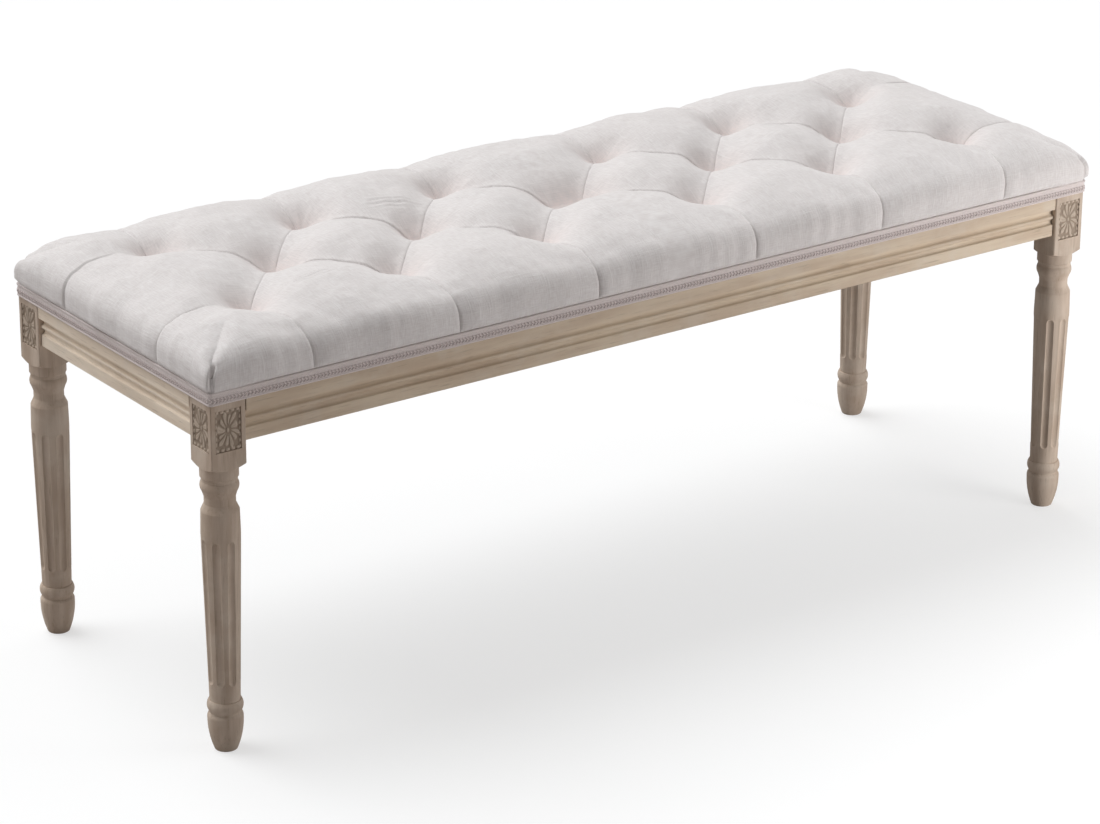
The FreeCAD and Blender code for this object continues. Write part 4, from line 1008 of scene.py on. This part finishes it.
def build_camera():
    """The camera, at the place and angle solved from the photograph."""
    azimuth = math.radians(CAMERA_AZIMUTH)
    elevation = math.radians(CAMERA_ELEVATION)
    back = Vector((
        math.sin(azimuth) * math.cos(elevation), -math.cos(azimuth) * math.cos(elevation),
        math.sin(elevation)))
    data = bpy.data.cameras.new("camera")
    data.lens = CAMERA_LENS
    data.sensor_width = SENSOR_WIDTH
    data.sensor_fit = "HORIZONTAL"
    camera = new_object("camera", data)
    camera.rotation_mode = "QUATERNION"
    camera.location = CAMERA_PLACE
    roll = Quaternion((0, 0, 1), math.radians(CAMERA_ROLL))
    camera.rotation_quaternion = (-back).to_track_quat("-Z", "Y") @ roll
    bpy.context.scene.camera = camera


def aim(lamp, direction):
    """Turns a lamp so that its light comes from this direction."""
    lamp.rotation_mode = "QUATERNION"
    lamp.rotation_quaternion = (-Vector(direction)).to_track_quat("-Z", "Y")


def soft_sun(name, direction, spread, strength, tint):
    """A sun with a wide disc, spread in degrees."""
    data = bpy.data.lights.new(name, "SUN")
    data.angle = math.radians(spread)
    data.energy = strength
    data.color = tint
    aim(new_object(name, data), direction)


def soft_box(name, place, towards, size, watts):
    """A square lamp at a place, aimed at a point."""
    data = bpy.data.lights.new(name, "AREA")
    data.shape = "SQUARE"
    data.size = size
    data.energy = watts
    lamp = new_object(name, data)
    lamp.location = place
    aim(lamp, Vector(place) - Vector(towards))


def build_stage():
    """A floor that looks white and keeps the shadow, a soft sky, a high key and a side fill."""
    bpy.ops.mesh.primitive_plane_add(size=FLOOR_SIZE)
    floor = bpy.context.object
    floor.name = "floor"
    ground = Finish("floor")
    seen = ground.node("LightPath", output="Is Camera Ray")
    pale = ground.blend(seen, FLOOR_BOUNCE, FLOOR_SEEN)
    matt = ground.node("BsdfDiffuse", Color=pale)
    glow = ground.node("Emission", Color=(1, 1, 1, 1), Strength=1.0)
    both = ground.node("MixShader", i0=seen * FLOOR_GLOW, i1=matt, i2=glow)
    ground.node("OutputMaterial", Surface=both)
    floor.data.materials.append(ground.material)
    world = bpy.data.worlds.new("studio")
    world.use_nodes = True
    tree = world.node_tree
    background = tree.nodes["Background"]
    background.inputs["Color"].default_value = SKY_TINT
    path = tree.nodes.new("ShaderNodeLightPath")
    place = tree.nodes.new("ShaderNodeTexCoord")
    facing = tree.nodes.new("ShaderNodeVectorMath")
    facing.operation = "DOT_PRODUCT"
    facing.inputs[1].default_value = DARK_SIDE
    tree.links.new(place.outputs["Generated"], facing.inputs[0])
    sky = tree.nodes.new("ShaderNodeMapRange")
    sky.inputs["From Min"].default_value = DARK_STARTS
    sky.inputs["From Max"].default_value = DARK_FULL
    sky.inputs["To Min"].default_value = SKY_LEVEL
    sky.inputs["To Max"].default_value = DARK_LEVEL
    tree.links.new(facing.outputs["Value"], sky.inputs["Value"])
    level = tree.nodes.new("ShaderNodeMapRange")
    level.inputs["To Max"].default_value = 1.0
    tree.links.new(path.outputs["Is Camera Ray"], level.inputs["Value"])
    tree.links.new(sky.outputs["Result"], level.inputs["To Min"])
    tree.links.new(level.outputs["Result"], background.inputs["Strength"])
    bpy.context.scene.world = world
    soft_sun("key", KEY_FROM, KEY_SPREAD, KEY_STRENGTH, KEY_TINT)
    soft_box("side_fill", FILL_PLACE, FILL_TARGET, FILL_SIZE, FILL_WATTS)
    bpy.context.scene.view_settings.view_transform = "Standard"


def dress(node, material):
    """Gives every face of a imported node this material."""
    for slot in nodes[node].material_slots:
        slot.material = material


def build():
    """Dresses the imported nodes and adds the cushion, the trim and the carved flowers."""
    mesh = cushion_mesh("seat_cushion", GRID_STEP)
    mesh.materials.append(linen())
    cushion = new_object("seat_cushion", mesh)
    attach(cushion, "root")
    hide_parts("seat_cover", "wadding", "foam_pad")
    leg_wood = limed_wood("leg_wood", "Z", colour(180, 160, 142), colour(200, 182, 165))
    long_wood = limed_wood("long_rail_wood", "X", colour(197, 176, 153), colour(211, 193, 170))
    # The end rails are the long rails' wood, painted paler to stand in for the light falling on the
    # bench's ends
    end_rail_wood_painted_light = limed_wood("short_rail_wood_painted_lighter", "Y", colour(224, 207, 187), colour(238, 223, 204))
    for corner in CORNERS:
        dress(f"leg_{corner}", leg_wood)
    dress("rail_front", long_wood)
    dress("rail_back", long_wood)
    dress("rail_left", end_rail_wood_painted_light)
    dress("rail_right", end_rail_wood_painted_light)
    brace_wood = plain("brace_wood", colour(205, 178, 140), 0.7)
    steel = plain("zinc_steel", colour(190, 190, 188), 0.35, 1.0)
    for corner in CORNERS:
        dress(f"corner_brace_{corner}", brace_wood)
        for piece in ("hanger_bolt", "bolt_washer", "bolt_nut"):
            dress(f"{piece}_{corner}", steel)
    for piece in ("brace_screws", "seat_screws", "tuft_washers"):
        dress(piece, steel)
    dress("seat_board", brace_wood)
    dress("tuft_twines", plain("twine", colour(210, 205, 190), 0.8))
    tape = new_object("gimp_tape", trim_tape())
    tape.data.materials.append(trim_cloth())
    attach(tape, "root")
    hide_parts("gimp_trim")
    path = path_curve(
        "herringbone_path", FRAME_HALF_LENGTH + STITCH_LIFT, FRAME_HALF_WIDTH + STITCH_LIFT,
        TRIM_CORNER + STITCH_LIFT, STITCH_HEIGHT)
    thread = plain("stitch_thread", colour(226, 213, 210), 0.85, speck=900)
    values = {**STITCH_SIZES, "Material": thread}
    stitches = grow("gimp_herringbone", path, stitch_tree(), values)
    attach(stitches, "root")
    flowers = new_object("carved_flowers", carved_flowers())
    flowers.data.materials.append(carved_wood())
    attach(flowers, "root")
    dress("dust_cover", plain("dust_cloth", colour(40, 40, 42), 0.9))


build_camera()
build_stage()
build()
